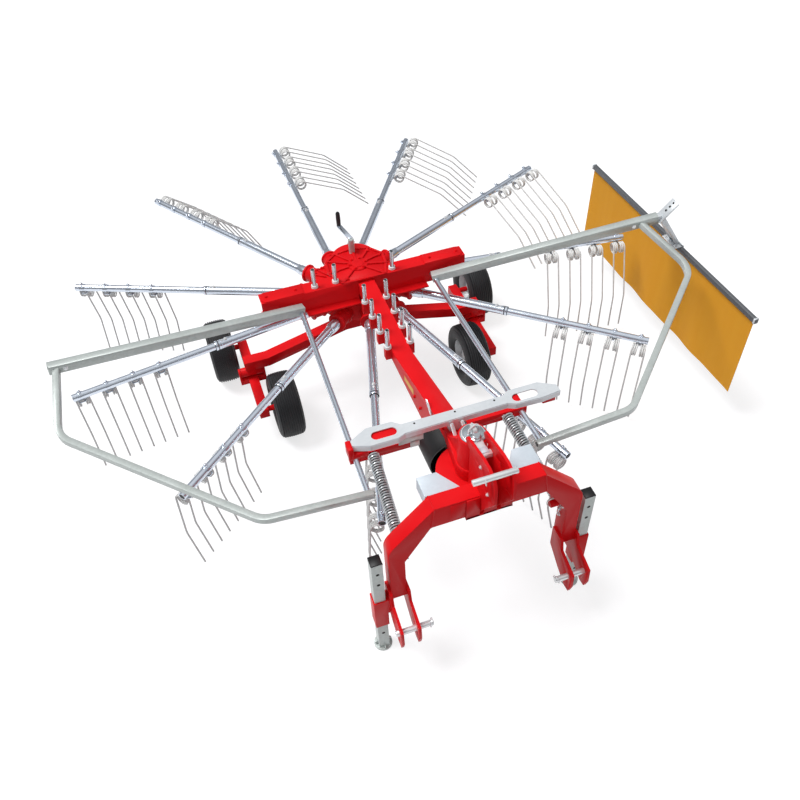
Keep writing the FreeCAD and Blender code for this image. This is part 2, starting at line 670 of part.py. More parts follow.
def hinge_point(y):
    """Point of the +X guard's hinge axis at y."""
    share = (y - HINGE_REAR.y) / (HINGE_FRONT.y - HINGE_REAR.y)
    return HINGE_REAR + (HINGE_FRONT - HINGE_REAR) * share


def guard_frame():
    """Box arm, bent hoop and hinge rod of the +X guard, welded into one frame."""
    arm_run = V(GUARD_CORNER_A - HINGE_REAR).normalize()
    arm_start = HINGE_REAR - arm_run * 30
    arm_end = GUARD_CORNER_A + arm_run * 40
    arm = bar(arm_start, arm_end, BOX_WIDTH, BOX_HEIGHT)
    bore = bar(arm_end - arm_run * BOX_BORE, arm_end + arm_run, BOX_WIDTH - 2 * BOX_WALL,
               BOX_HEIGHT - 2 * BOX_WALL)
    arm = arm.cut(bore)
    tail = V(HINGE_FRONT - GUARD_CORNER_C).normalize() * 24
    hoop = square_pipe([GUARD_CORNER_A, GUARD_CORNER_B, GUARD_CORNER_C, HINGE_FRONT + tail],
                       HOOP_BEND_R, HOOP_SIDE)
    hoop = hoop.cut(bar(arm_end - arm_run * 400, arm_end + arm_run, BOX_WIDTH, BOX_HEIGHT))
    hinge = rod(hinge_point(ROD_REAR_Y), HINGE_FRONT, ROD_R)
    return fuse([arm, hoop, hinge])


# ================================================================ headstock
def headstock_arch():
    """Arch of welded box section with the lower-link lugs and the stands' sleeves."""
    outline = [(0, ARCH_TOP_Z), (SHOULDER_X, ARCH_TOP_Z), (LEG_OUTER_X, KNEE_Z), (LEG_OUTER_X, LEG_BOTTOM_Z),
               (LEG_INNER_X, LEG_BOTTOM_Z), (LEG_INNER_X, KNEE_UNDER_Z), (SHOULDER_UNDER_X, ARCH_UNDER_Z),
               (0, ARCH_UNDER_Z)]
    frame = profile_y(outline, ARCH_FRONT, ARCH_REAR)
    knee = V(LEG_OUTER_X, ARCH_Y, KNEE_Z)
    edges = [edge for edge in frame.Edges if edge.CenterOfMass.distanceToPoint(knee) < SEAT]
    pieces = [frame.makeFillet(KNEE_R, edges)]
    back = ARCH_REAR - LUG_STEP
    lug = [(back, LEG_BOTTOM_Z + 60), (ARCH_FRONT - 20, LEG_BOTTOM_Z + 60),
           (ARCH_FRONT - 35, LEG_BOTTOM_Z - 5), (LINK_PIN_Y - 32, LINK_PIN_Z + 40),
           (LINK_PIN_Y - 36, LINK_PIN_Z - 45), (LINK_PIN_Y - 22, LINK_PIN_Z - 95),
           (LINK_PIN_Y + 13, LINK_PIN_Z - 100), (ARCH_FRONT - 30, LINK_PIN_Z - 55), (back, LINK_PIN_Z + 15)]
    pieces.append(profile_x(lug, LEG_INNER_X - PLATE, LEG_INNER_X + BLEND))
    pieces.append(profile_x(lug, LEG_OUTER_X - BLEND, LEG_OUTER_X + PLATE))
    half_sleeve = STAND_SIDE / 2 + SLEEVE_WALL
    sleeve = block(STAND_X - half_sleeve, STAND_X + half_sleeve, STAND_Y - half_sleeve,
                   STAND_Y + half_sleeve, SLEEVE_BOTTOM, SLEEVE_TOP)
    tie = block(LEG_OUTER_X + BLEND, STAND_X, STAND_Y - half_sleeve, ARCH_REAR - LUG_STEP,
                LINK_PIN_Z - TIE_DROP, SLEEVE_TOP)
    half = fuse(pieces + [sleeve, tie])
    clear = STAND_SIDE / 2 + RUN
    room = block(STAND_X - clear, STAND_X + clear, STAND_Y - clear, STAND_Y + clear, SLEEVE_BOTTOM - 1,
                 SLEEVE_TOP + 1)
    half = half.cut(room)
    hole = rod(V(LEG_INNER_X - 40, LINK_PIN_Y, LINK_PIN_Z), V(LEG_OUTER_X + 40, LINK_PIN_Y, LINK_PIN_Z),
               LINK_PIN_R + SEAT)
    half = half.cut(hole)
    return [fuse([half, mirrored(half)])]


def headstock_mast():
    """Mast plates saddled over the arch, with the half-round swivel plate behind it."""
    rear = PIVOT_Y - FOOT_R - MAST_CLEAR
    top = BOSS_BOTTOM - RUN
    outline = [(MAST_TIP_Y, MAST_TIP_Z - MAST_TIP_R), (rear, MAST_TIP_Z - MAST_TIP_R),
               (rear, top - SWIVEL_THICK), (ARCH_REAR + SEAT, top - SWIVEL_THICK),
               (ARCH_REAR + SEAT, ARCH_TOP_Z + SEAT), (ARCH_FRONT - SEAT, ARCH_TOP_Z + SEAT),
               (ARCH_FRONT - SEAT, ARCH_UNDER_Z + PLATE)]
    outline += MAST_NOSE + [(MAST_TIP_Y, MAST_TIP_Z + MAST_TIP_R)]
    inner = MAST_GAP / 2
    plate = profile_x(outline, inner, inner + PLATE)
    tip = V(inner, MAST_TIP_Y, MAST_TIP_Z)
    plate = plate.fuse(rod(tip, tip + V(PLATE, 0, 0), MAST_TIP_R))
    swivel = rod(V(0, PIVOT_Y, top - SWIVEL_THICK), V(0, PIVOT_Y, top), SWIVEL_R)
    apron = block(-SWIVEL_R, SWIVEL_R, ARCH_REAR + SEAT, PIVOT_Y, top - SWIVEL_THICK, top)
    front = block(-SWIVEL_R, SWIVEL_R, PIVOT_Y - SWIVEL_R - 1, ARCH_REAR + SEAT, top - SWIVEL_THICK - 1, top + 1)
    body = fuse(both(plate) + [swivel.cut(front), apron])
    body = body.cut(rod(V(-80, TOP_PIN_Y, TOP_PIN_Z), V(80, TOP_PIN_Y, TOP_PIN_Z), TOP_PIN_R + SEAT))
    for y, z in MAST_HOLES:
        body = body.cut(rod(V(-80, y, z), V(80, y, z), MAST_HOLE_R))
    low = V(0, PIVOT_Y, top - SWIVEL_THICK - 1)
    return [body.cut(rod(low, low + V(0, 0, SWIVEL_THICK + 2), PIVOT_PIN_R + SEAT))]


def pivot_pin():
    """Swivel pin with its eye and the flag that reaches between the mast plates."""
    low = V(0, PIVOT_Y, BOSS_BOTTOM - RUN - SWIVEL_THICK)
    top = V(0, PIVOT_Y, BOSS_TOP + RUN)
    high = top.z + EYE_THICK
    flag = block(-FLAG_HALF, FLAG_HALF, FLAG_FRONT_Y, PIVOT_Y, top.z, high)
    half = MAST_GAP / 2 - SEAT
    stop = block(-half, half, FLAG_FRONT_Y - STOP_DEPTH, FLAG_FRONT_Y, top.z - STOP_DROP, high)
    ring = rod(V(-RING_HALF, PIVOT_Y, high + RING_R / 2), V(RING_HALF, PIVOT_Y, high + RING_R / 2), RING_R)
    below = block(-RING_HALF, RING_HALF, PIVOT_Y - RING_R, PIVOT_Y + RING_R, high - 2 * RING_R, high - 1)
    body = fuse([rod(low, top, PIVOT_PIN_R), rod(top, V(0, PIVOT_Y, high), EYE_R), flag, stop, ring.cut(below)])
    return [body]


def link_pins():
    """Top-link pin and the two lower-link pins."""
    start, end = TOP_PIN_ENDS
    top = rod(V(start, TOP_PIN_Y, TOP_PIN_Z), V(end, TOP_PIN_Y, TOP_PIN_Z), TOP_PIN_R)
    inner = V(LINK_PIN_INNER, LINK_PIN_Y, LINK_PIN_Z)
    outer = V(LEG_OUTER_X + PLATE + 14, LINK_PIN_Y, LINK_PIN_Z)
    lower = rod(inner, outer, LINK_PIN_R)
    return [top] + both(lower)


def spring_boxes():
    """Sheet-metal boxes behind the arch, with their inner rear corners cut away."""
    low = ARCH_TOP_Z - SPRING_BOX_HEIGHT
    points = [V(x, ARCH_REAR + SEAT + back, low) for x, back in SPRING_BOX]
    wire = Part.makePolygon(points + points[:1])
    return both(Part.Face(wire).extrude(V(0, 0, SPRING_BOX_HEIGHT)))


def centring_springs():
    """Coil springs between the front bar and the arch's legs, with their end eyes."""
    rear = V(SPRING_REAR.x, FRONT_BAR_Y - FRONT_BAR_DEPTH / 2 - SEAT, SPRING_REAR.z)
    hook = V(SPRING_BOLT_X, ARCH_Y, SPRING_BOLT_Z)
    inset = V(SPRING_FRONT - SPRING_REAR).normalize() * 12
    coil = pipe(SPRING_REAR, SPRING_FRONT, SPRING_R, SPRING_R - 8)
    plugs = [rod(SPRING_REAR, SPRING_REAR + inset, SPRING_R - 4),
             rod(SPRING_FRONT - inset, SPRING_FRONT, SPRING_R - 4)]
    eyes = [rod(rear, rear - V(0, 25, 0), SPRING_EYE_R), rod(SPRING_FRONT - inset, hook, SPRING_EYE_R)]
    bolt = rod(V(LEG_INNER_X - SEAT, ARCH_Y, SPRING_BOLT_Z), hook - V(SPRING_EYE_R, 0, 0), SPRING_BOLT_R)
    return both(fuse([coil] + plugs + eyes + [bolt]))


def stand():
    """Parking stand on the +X side."""
    tube = block(STAND_X - STAND_SIDE / 2, STAND_X + STAND_SIDE / 2, STAND_Y - STAND_SIDE / 2,
                 STAND_Y + STAND_SIDE / 2, 8, STAND_LENGTH)
    foot = rod(V(STAND_X, STAND_Y, 0), V(STAND_X, STAND_Y, 10), STAND_FOOT_R)
    return fuse([tube, foot])


# ================================================================ swath curtain
def rail_point(share):
    """Point on the rail's centre line, 0 at the front and 1 at the rear."""
    return RAIL_FRONT + (RAIL_REAR - RAIL_FRONT) * share


def curtain_rail():
    """Rail, its clamp and the bar that slides in the guard's box arm."""
    rail = bar(RAIL_FRONT, RAIL_REAR, RAIL_SIDE, RAIL_SIDE)
    arm_run = V(GUARD_CORNER_A - HINGE_REAR).normalize()
    mouth = GUARD_CORNER_A + arm_run * 40
    width = BOX_WIDTH - 2 * BOX_WALL - 2 * RUN
    height = BOX_HEIGHT - 2 * BOX_WALL - 2 * RUN
    inner = bar(mouth - arm_run * 280, mouth + arm_run * 60, width, height)
    end = mouth + arm_run * 50
    share = (end.y - RAIL_FRONT.y) / (RAIL_REAR.y - RAIL_FRONT.y)
    seat = rail_point(share)
    drop = bar(end, seat, 30, 50, Y_AXIS)
    return [fuse([rail, inner, drop])]


def curtain():
    """Hanging sheet, kept as a thin slab."""
    lift = V(0, 0, RAIL_SIDE / 2 + SEAT)
    start = rail_point(0.01) - lift - V(0, 0, CURTAIN_DROP / 2)
    end = rail_point(0.99) - lift - V(0, 0, CURTAIN_DROP / 2)
    return [bar(start, end, CURTAIN_THICK, CURTAIN_DROP)]


# ================================================================ assembly
def build():
    """All nodes by name, each a list of solids, in machine coordinates."""
    nodes = {
        "rotor_hub": rotor_hub(),
        "arm_carriers": arm_carriers(),
    }
    pattern = double_tine()
    for index in range(ARM_COUNT):
        nodes["tine_arm_%02d" % (index + 1)] = tine_arm(index)
        nodes["tines_%02d" % (index + 1)] = tines(index, pattern)
    nodes["gear_housing"] = gear_housing()
    nodes["main_beam"] = main_beam()
    nodes["cross_beam"] = cross_beam()
    nodes["front_bar"] = front_bar()
    nodes["latch_bar"] = latch_bar()
    nodes["storage_pegs"] = storage_pegs()
    nodes["height_crank"] = height_crank()
    nodes["axle"] = axle()
    nodes["pto_shaft"] = pto_shaft()
    nodes["pto_guard"] = pto_guard()
    nodes["headstock_arch"] = headstock_arch()
    nodes["headstock_mast"] = headstock_mast()
    nodes["pivot_pin"] = pivot_pin()
    nodes["link_pins"] = link_pins()
    nodes["spring_boxes"] = spring_boxes()
    nodes["centring_springs"] = centring_springs()
    right_side = {"bogie_left": bogie()[0], "stand_left": stand(), "guard_left": guard_frame()}
    for name, shape in right_side.items():
        nodes[name] = [shape]
        nodes[name.replace("left", "right")] = [mirrored(shape)]
    for side, sign in (("left", 1), ("right", -1)):
        nodes["tyre_front_" + side] = tyre(sign * FRONT_WHEEL_X, FRONT_WHEEL_Y)
        nodes["rim_front_" + side] = rim(sign * FRONT_WHEEL_X, FRONT_WHEEL_Y)
        nodes["tyre_rear_" + side] = tyre(sign * REAR_WHEEL_X, REAR_WHEEL_Y)
        nodes["rim_rear_" + side] = rim(sign * REAR_WHEEL_X, REAR_WHEEL_Y)
    nodes["curtain_rail"] = curtain_rail()
    nodes["curtain"] = curtain()
    return nodes


def base_offset(nodes):
    """Vector from the machine origin to the middle of the part's box, on the floor."""
    box = FreeCAD.BoundBox()
    for solids in nodes.values():
        for solid in solids:
            box.add(solid.BoundBox)
    return V(-box.Center.x, -box.Center.y, 0)


def export(nodes):
    """Write one STEP file for each node."""
    os.makedirs("parts", exist_ok=True)
    offset = base_offset(nodes)
    for name, solids in nodes.items():
        shape = solids[0] if len(solids) == 1 else Part.makeCompound(solids)
        moved = shape.copy()
        moved.translate(offset)
        moved.exportStep(os.path.join("parts", name + ".step"))
    print("offset", offset, "nodes", len(nodes))


export(build())
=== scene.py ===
"""Single-rotor rotary rake: its paint, zinc, spring wire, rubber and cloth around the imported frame."""

import json
import logging
import math
from dataclasses import dataclass, field
from enum import Enum
from typing import Any, Iterable, Sequence

import bmesh
import bpy
import numpy as np
from mathutils import Matrix, Vector

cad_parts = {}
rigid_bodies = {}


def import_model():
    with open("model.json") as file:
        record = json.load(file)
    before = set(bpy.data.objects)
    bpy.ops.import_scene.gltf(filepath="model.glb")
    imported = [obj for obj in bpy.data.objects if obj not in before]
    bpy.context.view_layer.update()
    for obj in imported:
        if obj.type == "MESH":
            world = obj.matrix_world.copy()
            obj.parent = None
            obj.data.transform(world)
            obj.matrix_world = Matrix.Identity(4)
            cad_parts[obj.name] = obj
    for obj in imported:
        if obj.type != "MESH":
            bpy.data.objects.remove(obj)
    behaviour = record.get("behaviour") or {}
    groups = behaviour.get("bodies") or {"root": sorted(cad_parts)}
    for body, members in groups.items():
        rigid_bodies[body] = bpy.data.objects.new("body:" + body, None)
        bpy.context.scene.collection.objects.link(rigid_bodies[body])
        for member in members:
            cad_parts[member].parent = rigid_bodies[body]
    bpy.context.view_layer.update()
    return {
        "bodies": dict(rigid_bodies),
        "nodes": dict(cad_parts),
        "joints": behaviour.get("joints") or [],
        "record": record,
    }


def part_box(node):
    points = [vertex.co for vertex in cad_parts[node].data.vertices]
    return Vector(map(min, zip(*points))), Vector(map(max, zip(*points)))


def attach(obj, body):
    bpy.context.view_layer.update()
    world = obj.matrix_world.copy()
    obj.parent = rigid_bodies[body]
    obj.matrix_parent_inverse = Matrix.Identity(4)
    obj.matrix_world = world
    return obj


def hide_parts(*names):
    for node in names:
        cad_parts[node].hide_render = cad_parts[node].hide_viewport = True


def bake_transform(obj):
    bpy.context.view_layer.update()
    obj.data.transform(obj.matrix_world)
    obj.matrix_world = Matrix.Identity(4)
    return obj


MM = 0.001
TURN = 2 * math.pi
CLOTH_MAP = "cloth"
AXIS_R = 0.01  # mm: how near its axis a turned outline starts and ends
WAVE_RATE = 20  # radians that Blender's wave texture turns through in a unit, at scale 1
WELD = 1e-5  # m: corners nearer to each other than this are one
FLAT_DEG = 0.6  # facets that turn less than this are one face
BEVEL_DEG = 30  # edges sharper than this are rounded
LOG = logging.getLogger("rake")

Path = list[Vector]
Shape = bmesh.types.BMesh
Socket = bpy.types.NodeSocket
Tree = bpy.types.NodeTree
Place = Sequence[float]
Outline = Sequence[tuple[float, float]]
Spans = Sequence[tuple[Place, Place]]
UP = Vector((0, 0, 1))
ACROSS = Vector((1, 0, 0))
AHEAD = Vector((0, -1, 0))


class Side(Enum):
    """Which side of the machine: LEFT is the curtain's side, towards +X."""

    LEFT = 1
    RIGHT = -1

    @property
    def word(self) -> str:
        """The side's name as the nodes and bodies spell it."""
        return self.name.lower()


def linear(colour: str) -> tuple[float, float, float, float]:
    """Turn an sRGB hex colour into linear RGBA.

    Args:
        colour: Six hex digits, with or without a leading hash.

    Returns:
        Red, green, blue and an alpha of 1.
    """
    digits = colour.lstrip("#")
    values = []
    for start in (0, 2, 4):
        share = int(digits[start:start + 2], 16) / 255
        values.append(share / 12.92 if share <= 0.04045 else ((share + 0.055) / 1.055) ** 2.4)
    return (*values, 1.0)


def add_node(tree: Tree, kind: str, inputs: dict[Any, Any] | None = None,
             **settings: Any) -> bpy.types.Node:
    """Add a node with its settings and links.

    Args:
        tree: Shader or geometry node tree.
        kind: The node's type.
        inputs: Values or output sockets, by input name or index.
        **settings: Properties of the node itself.

    Returns:
        The new node.
    """
    node = tree.nodes.new(kind)
    for name, value in settings.items():
        setattr(node, name, value)
    for key, value in (inputs or {}).items():
        if isinstance(value, Socket):
            tree.links.new(value, node.inputs[key])
        else:
            node.inputs[key].default_value = value
    return node


# ---------------------------------------------------------------- finishes
@dataclass(frozen=True)
class Shade:
    """A material while it is made: its nodes, its Principled node and the place on the object."""

    tree: Tree
    shader: bpy.types.Node
    place: Socket

    def noise(self, size_mm: float, detail: float) -> Socket:
        """Grey noise whose spots are about size_mm across."""
        made = add_node(self.tree, "ShaderNodeTexNoise", {
            "Vector": self.place, "Scale": 1 / (size_mm * MM), "Detail": detail})
        return made.outputs["Fac"]

    def vary(self, share: Socket, dark: str, light: str) -> None:
        """Let the base colour run from dark to light with share."""
        mix = add_node(self.tree, "ShaderNodeMix", {0: share, 6: linear(dark), 7: linear(light)},
                       data_type="RGBA")
        self.tree.links.new(mix.outputs[2], self.shader.inputs["Base Color"])

    def spread(self, share: Socket, low: float, high: float) -> None:
        """Let the roughness run from low to high with share."""
        span = add_node(self.tree, "ShaderNodeMapRange", {"Value": share, "To Min": low, "To Max": high})
        self.tree.links.new(span.outputs[0], self.shader.inputs["Roughness"])

    def raise_by(self, height: Socket, depth_mm: float, strength: float) -> None:
        """Bump the surface by a height map of the given depth."""
        bump = add_node(self.tree, "ShaderNodeBump", {
            "Strength": strength, "Distance": depth_mm * MM, "Height": height})
        self.tree.links.new(bump.outputs[0], self.shader.inputs["Normal"])


@dataclass(frozen=True)
class Finish:
    """A surface: its name, its main colour, the numbers of its shader and its usual slot."""

    name: str
    colour: str
    roughness: float
    metallic: float = 0.0
    slot: str = "galvanised"

    def material(self) -> bpy.types.Material:
        """Build the material, or find it if it is there already.

        Returns:
            The material.
        """
        known = bpy.data.materials.get(self.name)
        if known is not None:
            return known
        material = bpy.data.materials.new(self.name)
        material.use_nodes = True
        tree = material.node_tree
        tree.nodes.clear()
        shader = add_node(tree, "ShaderNodeBsdfPrincipled", {
            "Base Color": linear(self.colour), "Roughness": self.roughness, "Metallic": self.metallic})
        add_node(tree, "ShaderNodeOutputMaterial", {"Surface": shader.outputs["BSDF"]})
        self.detail(Shade(tree, shader, add_node(tree, "ShaderNodeTexCoord").outputs["Object"]))
        material.diffuse_color = linear(self.colour)
        return material

    def detail(self, shade: Shade) -> None:
        """Add what the finish shows up close."""
        raise NotImplementedError(self.name)


@dataclass(frozen=True)
class GlossPaint(Finish):
    """Gloss enamel, sprayed: a soft shine with a faint orange peel and drifting tone."""

    slot: str = "red_paint"
    light: str = "#EB1C22"
    drift_mm: float = 160.0
    peel_mm: float = 3.0
    peel_depth_mm: float = 0.05
    shine: float = 0.09

    def detail(self, shade: Shade) -> None:
        """Add the peel and the drifting tone."""
        drift = shade.noise(self.drift_mm, 2.0)
        shade.vary(drift, self.colour, self.light)
        shade.spread(drift, self.roughness - 0.06, self.roughness + 0.08)
        peel = shade.noise(self.peel_mm, 2.0)
        shade.raise_by(peel, self.peel_depth_mm, 0.5)
        shade.shader.inputs["Specular IOR Level"].default_value = self.shine


@dataclass(frozen=True)
class Zinc(Finish):
    """Hot-dip or electroplated zinc: grey metal in faint crystal spangles of uneven shine."""

    dark: str = "#A3AAA8"
    spangle_mm: float = 9.0
    cloud_mm: float = 90.0
    grain_mm: float = 6.0
    skin_mm: float = 0.04
    contrast: float = 0.3

    def detail(self, shade: Shade) -> None:
        """Add the spangles, the cloudy bloom and the skin."""
        cells = add_node(shade.tree, "ShaderNodeTexVoronoi", {
            "Vector": shade.place, "Scale": 1 / (self.spangle_mm * MM)})
        tone = add_node(shade.tree, "ShaderNodeSeparateColor", {0: cells.outputs["Color"]})
        cloud = shade.noise(self.cloud_mm, 3.0)
        share = add_node(shade.tree, "ShaderNodeMath", {0: tone.outputs[0], 1: self.contrast, 2: cloud},
                         operation="MULTIPLY_ADD")
        shade.vary(share.outputs[0], self.dark, self.colour)
        shade.spread(cloud, self.roughness - 0.05, self.roughness + 0.08)
        if self.skin_mm:
            grain = shade.noise(self.grain_mm, 3.0)
            shade.raise_by(grain, self.skin_mm, 0.3)


@dataclass(frozen=True)
class WireCoat(Finish):
    """Spring wire with a pale zinc-flake dip: near white, dull, a little streaky along the wire."""

    slot: str = "tine_wire"
    shade: str = "#C4C6C9"
    streak_mm: float = 25.0
    grit_mm: float = 1.5
    grit_depth_mm: float = 0.08

    def detail(self, shade: Shade) -> None:
        """Add the dip's streaks and its fine grit."""
        shade.vary(shade.noise(self.streak_mm, 5.0), self.shade, self.colour)
        shade.raise_by(shade.noise(self.grit_mm, 2.0), self.grit_depth_mm, 0.4)


@dataclass(frozen=True)
class Rubber(Finish):
    """Carbon-black tyre rubber, moulded: dull, with a fine skin and a trace of dust."""

    slot: str = "tyre"
    dust: str = "#2C2D30"
    dust_mm: float = 45.0
    skin_mm: float = 1.8
    skin_depth_mm: float = 0.15

    def detail(self, shade: Shade) -> None:
        """Add the dust and the moulded skin."""
        dust = shade.noise(self.dust_mm, 6.0)
        shade.vary(dust, self.colour, self.dust)
        shade.spread(dust, self.roughness - 0.1, self.roughness + 0.12)
        shade.raise_by(shade.noise(self.skin_mm, 2.0), self.skin_depth_mm, 0.5)


@dataclass(frozen=True)
class Plastic(Finish):
    """Moulded polyethylene: even colour under a fine spark-eroded grain."""

    slot: str = "black_plastic"
    grain_mm: float = 1.2
    grain_depth_mm: float = 0.1

    def detail(self, shade: Shade) -> None:
        """Add the grain and its uneven dullness."""
        grain = shade.noise(self.grain_mm, 2.0)
        shade.spread(grain, self.roughness - 0.08, self.roughness + 0.1)
        shade.raise_by(grain, self.grain_depth_mm, 0.5)


@dataclass(frozen=True)
class CoatedCloth(Finish):
    """Woven polyester under a PVC coat: the threads show through as a fine grid, and soft creases are painted
    in as upright streaks of highlight and shade.
    """

    slot: str = "curtain_cloth"
    # darker end of the painted fold streaks
    shade: str = "#DD8F12"
    thread_mm: float = 3.0
    weave_depth_mm: float = 0.25
    stain_mm: tuple[float, float] = (60.0, 600.0)
    shine: float = 0.2
    sheen: float = 0.05

    def detail(self, shade: Shade) -> None:
        """Add the thread grid, on the cloth's own map in metres, and long soft upright streaks of painted
        fold highlight and shade.
        """
        cloth = add_node(shade.tree, "ShaderNodeUVMap", uv_map=CLOTH_MAP).outputs[0]
        rate = TURN / (self.thread_mm * MM) / WAVE_RATE
        heights = [add_node(shade.tree, "ShaderNodeTexWave", {"Vector": cloth, "Scale": rate},
                            bands_direction=direction).outputs["Fac"] for direction in ("X", "Y")]
        weave = add_node(shade.tree, "ShaderNodeMath", {0: heights[0], 1: heights[1]}, operation="ADD")
        wide, long = self.stain_mm
        stretch = add_node(shade.tree, "ShaderNodeMapping", {
            0: cloth, 3: (1 / (wide * MM), 1 / (long * MM), 1)})
        fold_streak = add_node(shade.tree, "ShaderNodeTexNoise", {
            "Vector": stretch.outputs[0], "Scale": 1.0, "Detail": 3.0})
        shade.vary(fold_streak.outputs["Fac"], self.shade, self.colour)
        shade.raise_by(weave.outputs[0], self.weave_depth_mm, 0.4)
        shade.shader.inputs["Specular IOR Level"].default_value = self.shine
        shade.shader.inputs["Sheen Weight"].default_value = self.sheen


RED = GlossPaint("gloss_enamel_red", "#DE1219", 0.34)
CAST_RED = GlossPaint("gloss_enamel_on_casting", "#D21219", 0.36, peel_mm=7.0, peel_depth_mm=1.2)
GALVANISED = Zinc("hot_dip_galvanised_steel", "#D0D7D4", 0.34, 0.2, dark="#B2BAB6", skin_mm=0.02)
BRIGHT_ZINC = Zinc("bright_zinc_plated_tube", "#E2EAF4", 0.16, 0.85, dark="#CCD6E4", skin_mm=0.0,
                   contrast=0.08)
PEG_ZINC = Zinc("zinc_plated_peg", "#CDD4D8", 0.2, 0.85, dark="#B4BCC2", skin_mm=0.0, contrast=0.08)
LATCH_ZINC = Zinc("zinc_plated_channel", "#E2E7EA", 0.38, 0.25, dark="#D2D8DC", spangle_mm=12.0, skin_mm=0.0)
SHEET_ZINC = Zinc("zinc_coated_sheet", "#DCE8F0", 0.42, 0.2, dark="#CFDBE4", spangle_mm=12.0, skin_mm=0.0)
SPRING_STEEL = Zinc("plated_spring_steel", "#D8DDDF", 0.28, 0.5, dark="#BCC2C4", spangle_mm=4.0, skin_mm=0.0)
PIN_STEEL = Zinc("turned_pin_steel", "#F0F2F3", 0.22, 0.45, dark="#E2E5E7", spangle_mm=3.0, skin_mm=0.0)
WIRE = WireCoat("zinc_flake_spring_wire", "#F2F2F0", 0.4, 0.0, shade="#D8D8D6")
TYRE_RUBBER = Rubber("carbon_black_rubber", "#141417", 0.62)
RIM_PAINT = Zinc("silver_painted_rim", "#C4C8CA", 0.4, 0.3, "rim", dark="#A4A8AA")
BLACK = Plastic("black_polyethylene", "#121214", 0.5)
PEG_WHITE = Plastic("white_nylon_bush", "#F2F3F3", 0.45, slot="galvanised")
# Dark grey for the galvanised curtain rail: painted shade, as the rail lies in shadow.
SHADE_GREY_RAIL = Plastic("dark_grey_coated_rail", "#5E6165", 0.5, slot="galvanised")
CLOTH = CoatedCloth("pvc_coated_polyester_cloth", "#FBB42C", 0.6, shade="#F4A61E")
YELLOW_FILM = Plastic("yellow_vinyl_film", "#F2B01E", 0.35, slot="red_paint")
# Near-black painted shade: rings in gaps, discs in uncut holes and rods inside the springs stand for the
# shade there.
PAINTED_SHADE = Plastic("dark_gap", "#1C1818", 0.8)


# ---------------------------------------------------------------- meshes and geometry trees
class GeometryTree:
    """A geometry node tree built here, with named inputs and a set material at its end."""

    def __init__(self, name: str) -> None:
        """Start a tree that takes a mesh and gives a mesh."""
        self.tree = bpy.data.node_groups.new(name, "GeometryNodeTree")
        self.socket("Geometry", "NodeSocketGeometry")
        self.tree.interface.new_socket("Geometry", in_out="OUTPUT", socket_type="NodeSocketGeometry")
        self.entry = self.tree.nodes.new("NodeGroupInput")
        self.identifiers: dict[str, str] = {}

    def socket(self, name: str, kind: str) -> str:
        """Add a named input and give its identifier."""
        return self.tree.interface.new_socket(name, in_out="INPUT", socket_type=kind).identifier

    def take(self, name: str, kind: str = "NodeSocketFloat") -> Socket:
        """Add a named input of the tree.

        Args:
            name: What the input is called.
            kind: Its socket type.

        Returns:
            The input node's socket for it.
        """
        self.identifiers[name] = self.socket(name, kind)
        return self.entry.outputs[name]

    def close(self, geometry: Socket) -> None:
        """End the tree: real geometry with the finish that is given."""
        finish = self.take("Finish", "NodeSocketMaterial")
        real = add_node(self.tree, "GeometryNodeRealizeInstances", {0: geometry})
        dressed = add_node(self.tree, "GeometryNodeSetMaterial", {0: real.outputs[0], "Material": finish})
        add_node(self.tree, "NodeGroupOutput", {0: dressed.outputs[0]})

    def scatter(self, pattern: Socket) -> None:
        """End the tree with a pattern on every point, turned by the point's turn."""
        turn = add_node(self.tree, "GeometryNodeInputNamedAttribute", {"Name": "turn"},
                        data_type="FLOAT_VECTOR")
        euler = add_node(self.tree, "FunctionNodeEulerToRotation", {0: turn.outputs[0]})
        spread = add_node(self.tree, "GeometryNodeInstanceOnPoints", {
            "Points": self.entry.outputs[0], "Instance": pattern, "Rotation": euler.outputs[0]})
        self.close(spread.outputs[0])

    def make(self, source: bpy.types.Mesh, name: str, finish: Finish, angle_deg: float = 40.0,
             **inputs: Any) -> bpy.types.Object:
        """Run the tree on a mesh and keep the result as a plain mesh.

        Args:
            source: Mesh that the tree starts from.
            name: Name of the piece.
            finish: The piece's finish.
            angle_deg: Edges sharper than this stay sharp.
            **inputs: Values of the tree's inputs, by name with underscores for spaces.

        Returns:
            The piece, with no modifier left on it.
        """
        piece = placed(name, source)
        modifier = piece.modifiers.new(name, "NODES")
        modifier.node_group = self.tree
        modifier[self.identifiers["Finish"]] = finish.material()
        for key, value in inputs.items():
            modifier[self.identifiers[key.replace("_", " ")]] = value
        return settle(piece, angle_deg)


def placed(name: str, data: bpy.types.ID) -> bpy.types.Object:
    """New object in the scene."""
    made = bpy.data.objects.new(name, data)
    bpy.context.collection.objects.link(made)
    return made


def settle(piece: bpy.types.Object, angle_deg: float = 40.0) -> bpy.types.Object:
    """Turn a piece's evaluated shape into its own plain mesh.

    Args:
        piece: Object with modifiers.
        angle_deg: Edges sharper than this stay sharp.

    Returns:
        The same object, without modifiers.
    """
    bpy.context.view_layer.update()
    evaluated = piece.evaluated_get(bpy.context.evaluated_depsgraph_get())
    mesh = bpy.data.meshes.new_from_object(evaluated)
    mesh.name = piece.name
    piece.modifiers.clear()
    piece.data = mesh
    mesh.shade_smooth()
    mesh.set_sharp_from_angle(angle=math.radians(angle_deg))
    return piece


def polyline(paths: Sequence[Path]) -> bpy.types.Mesh:
    """Mesh of edges along each path, for the sweep tree."""
    mesh = bpy.data.meshes.new("paths")
    points: Path = []
    edges = []
    for path in paths:
        first = len(points)
        points += path
        edges += [(first + i, first + i + 1) for i in range(len(path) - 1)]
    mesh.from_pydata(points, edges, [])
    return mesh


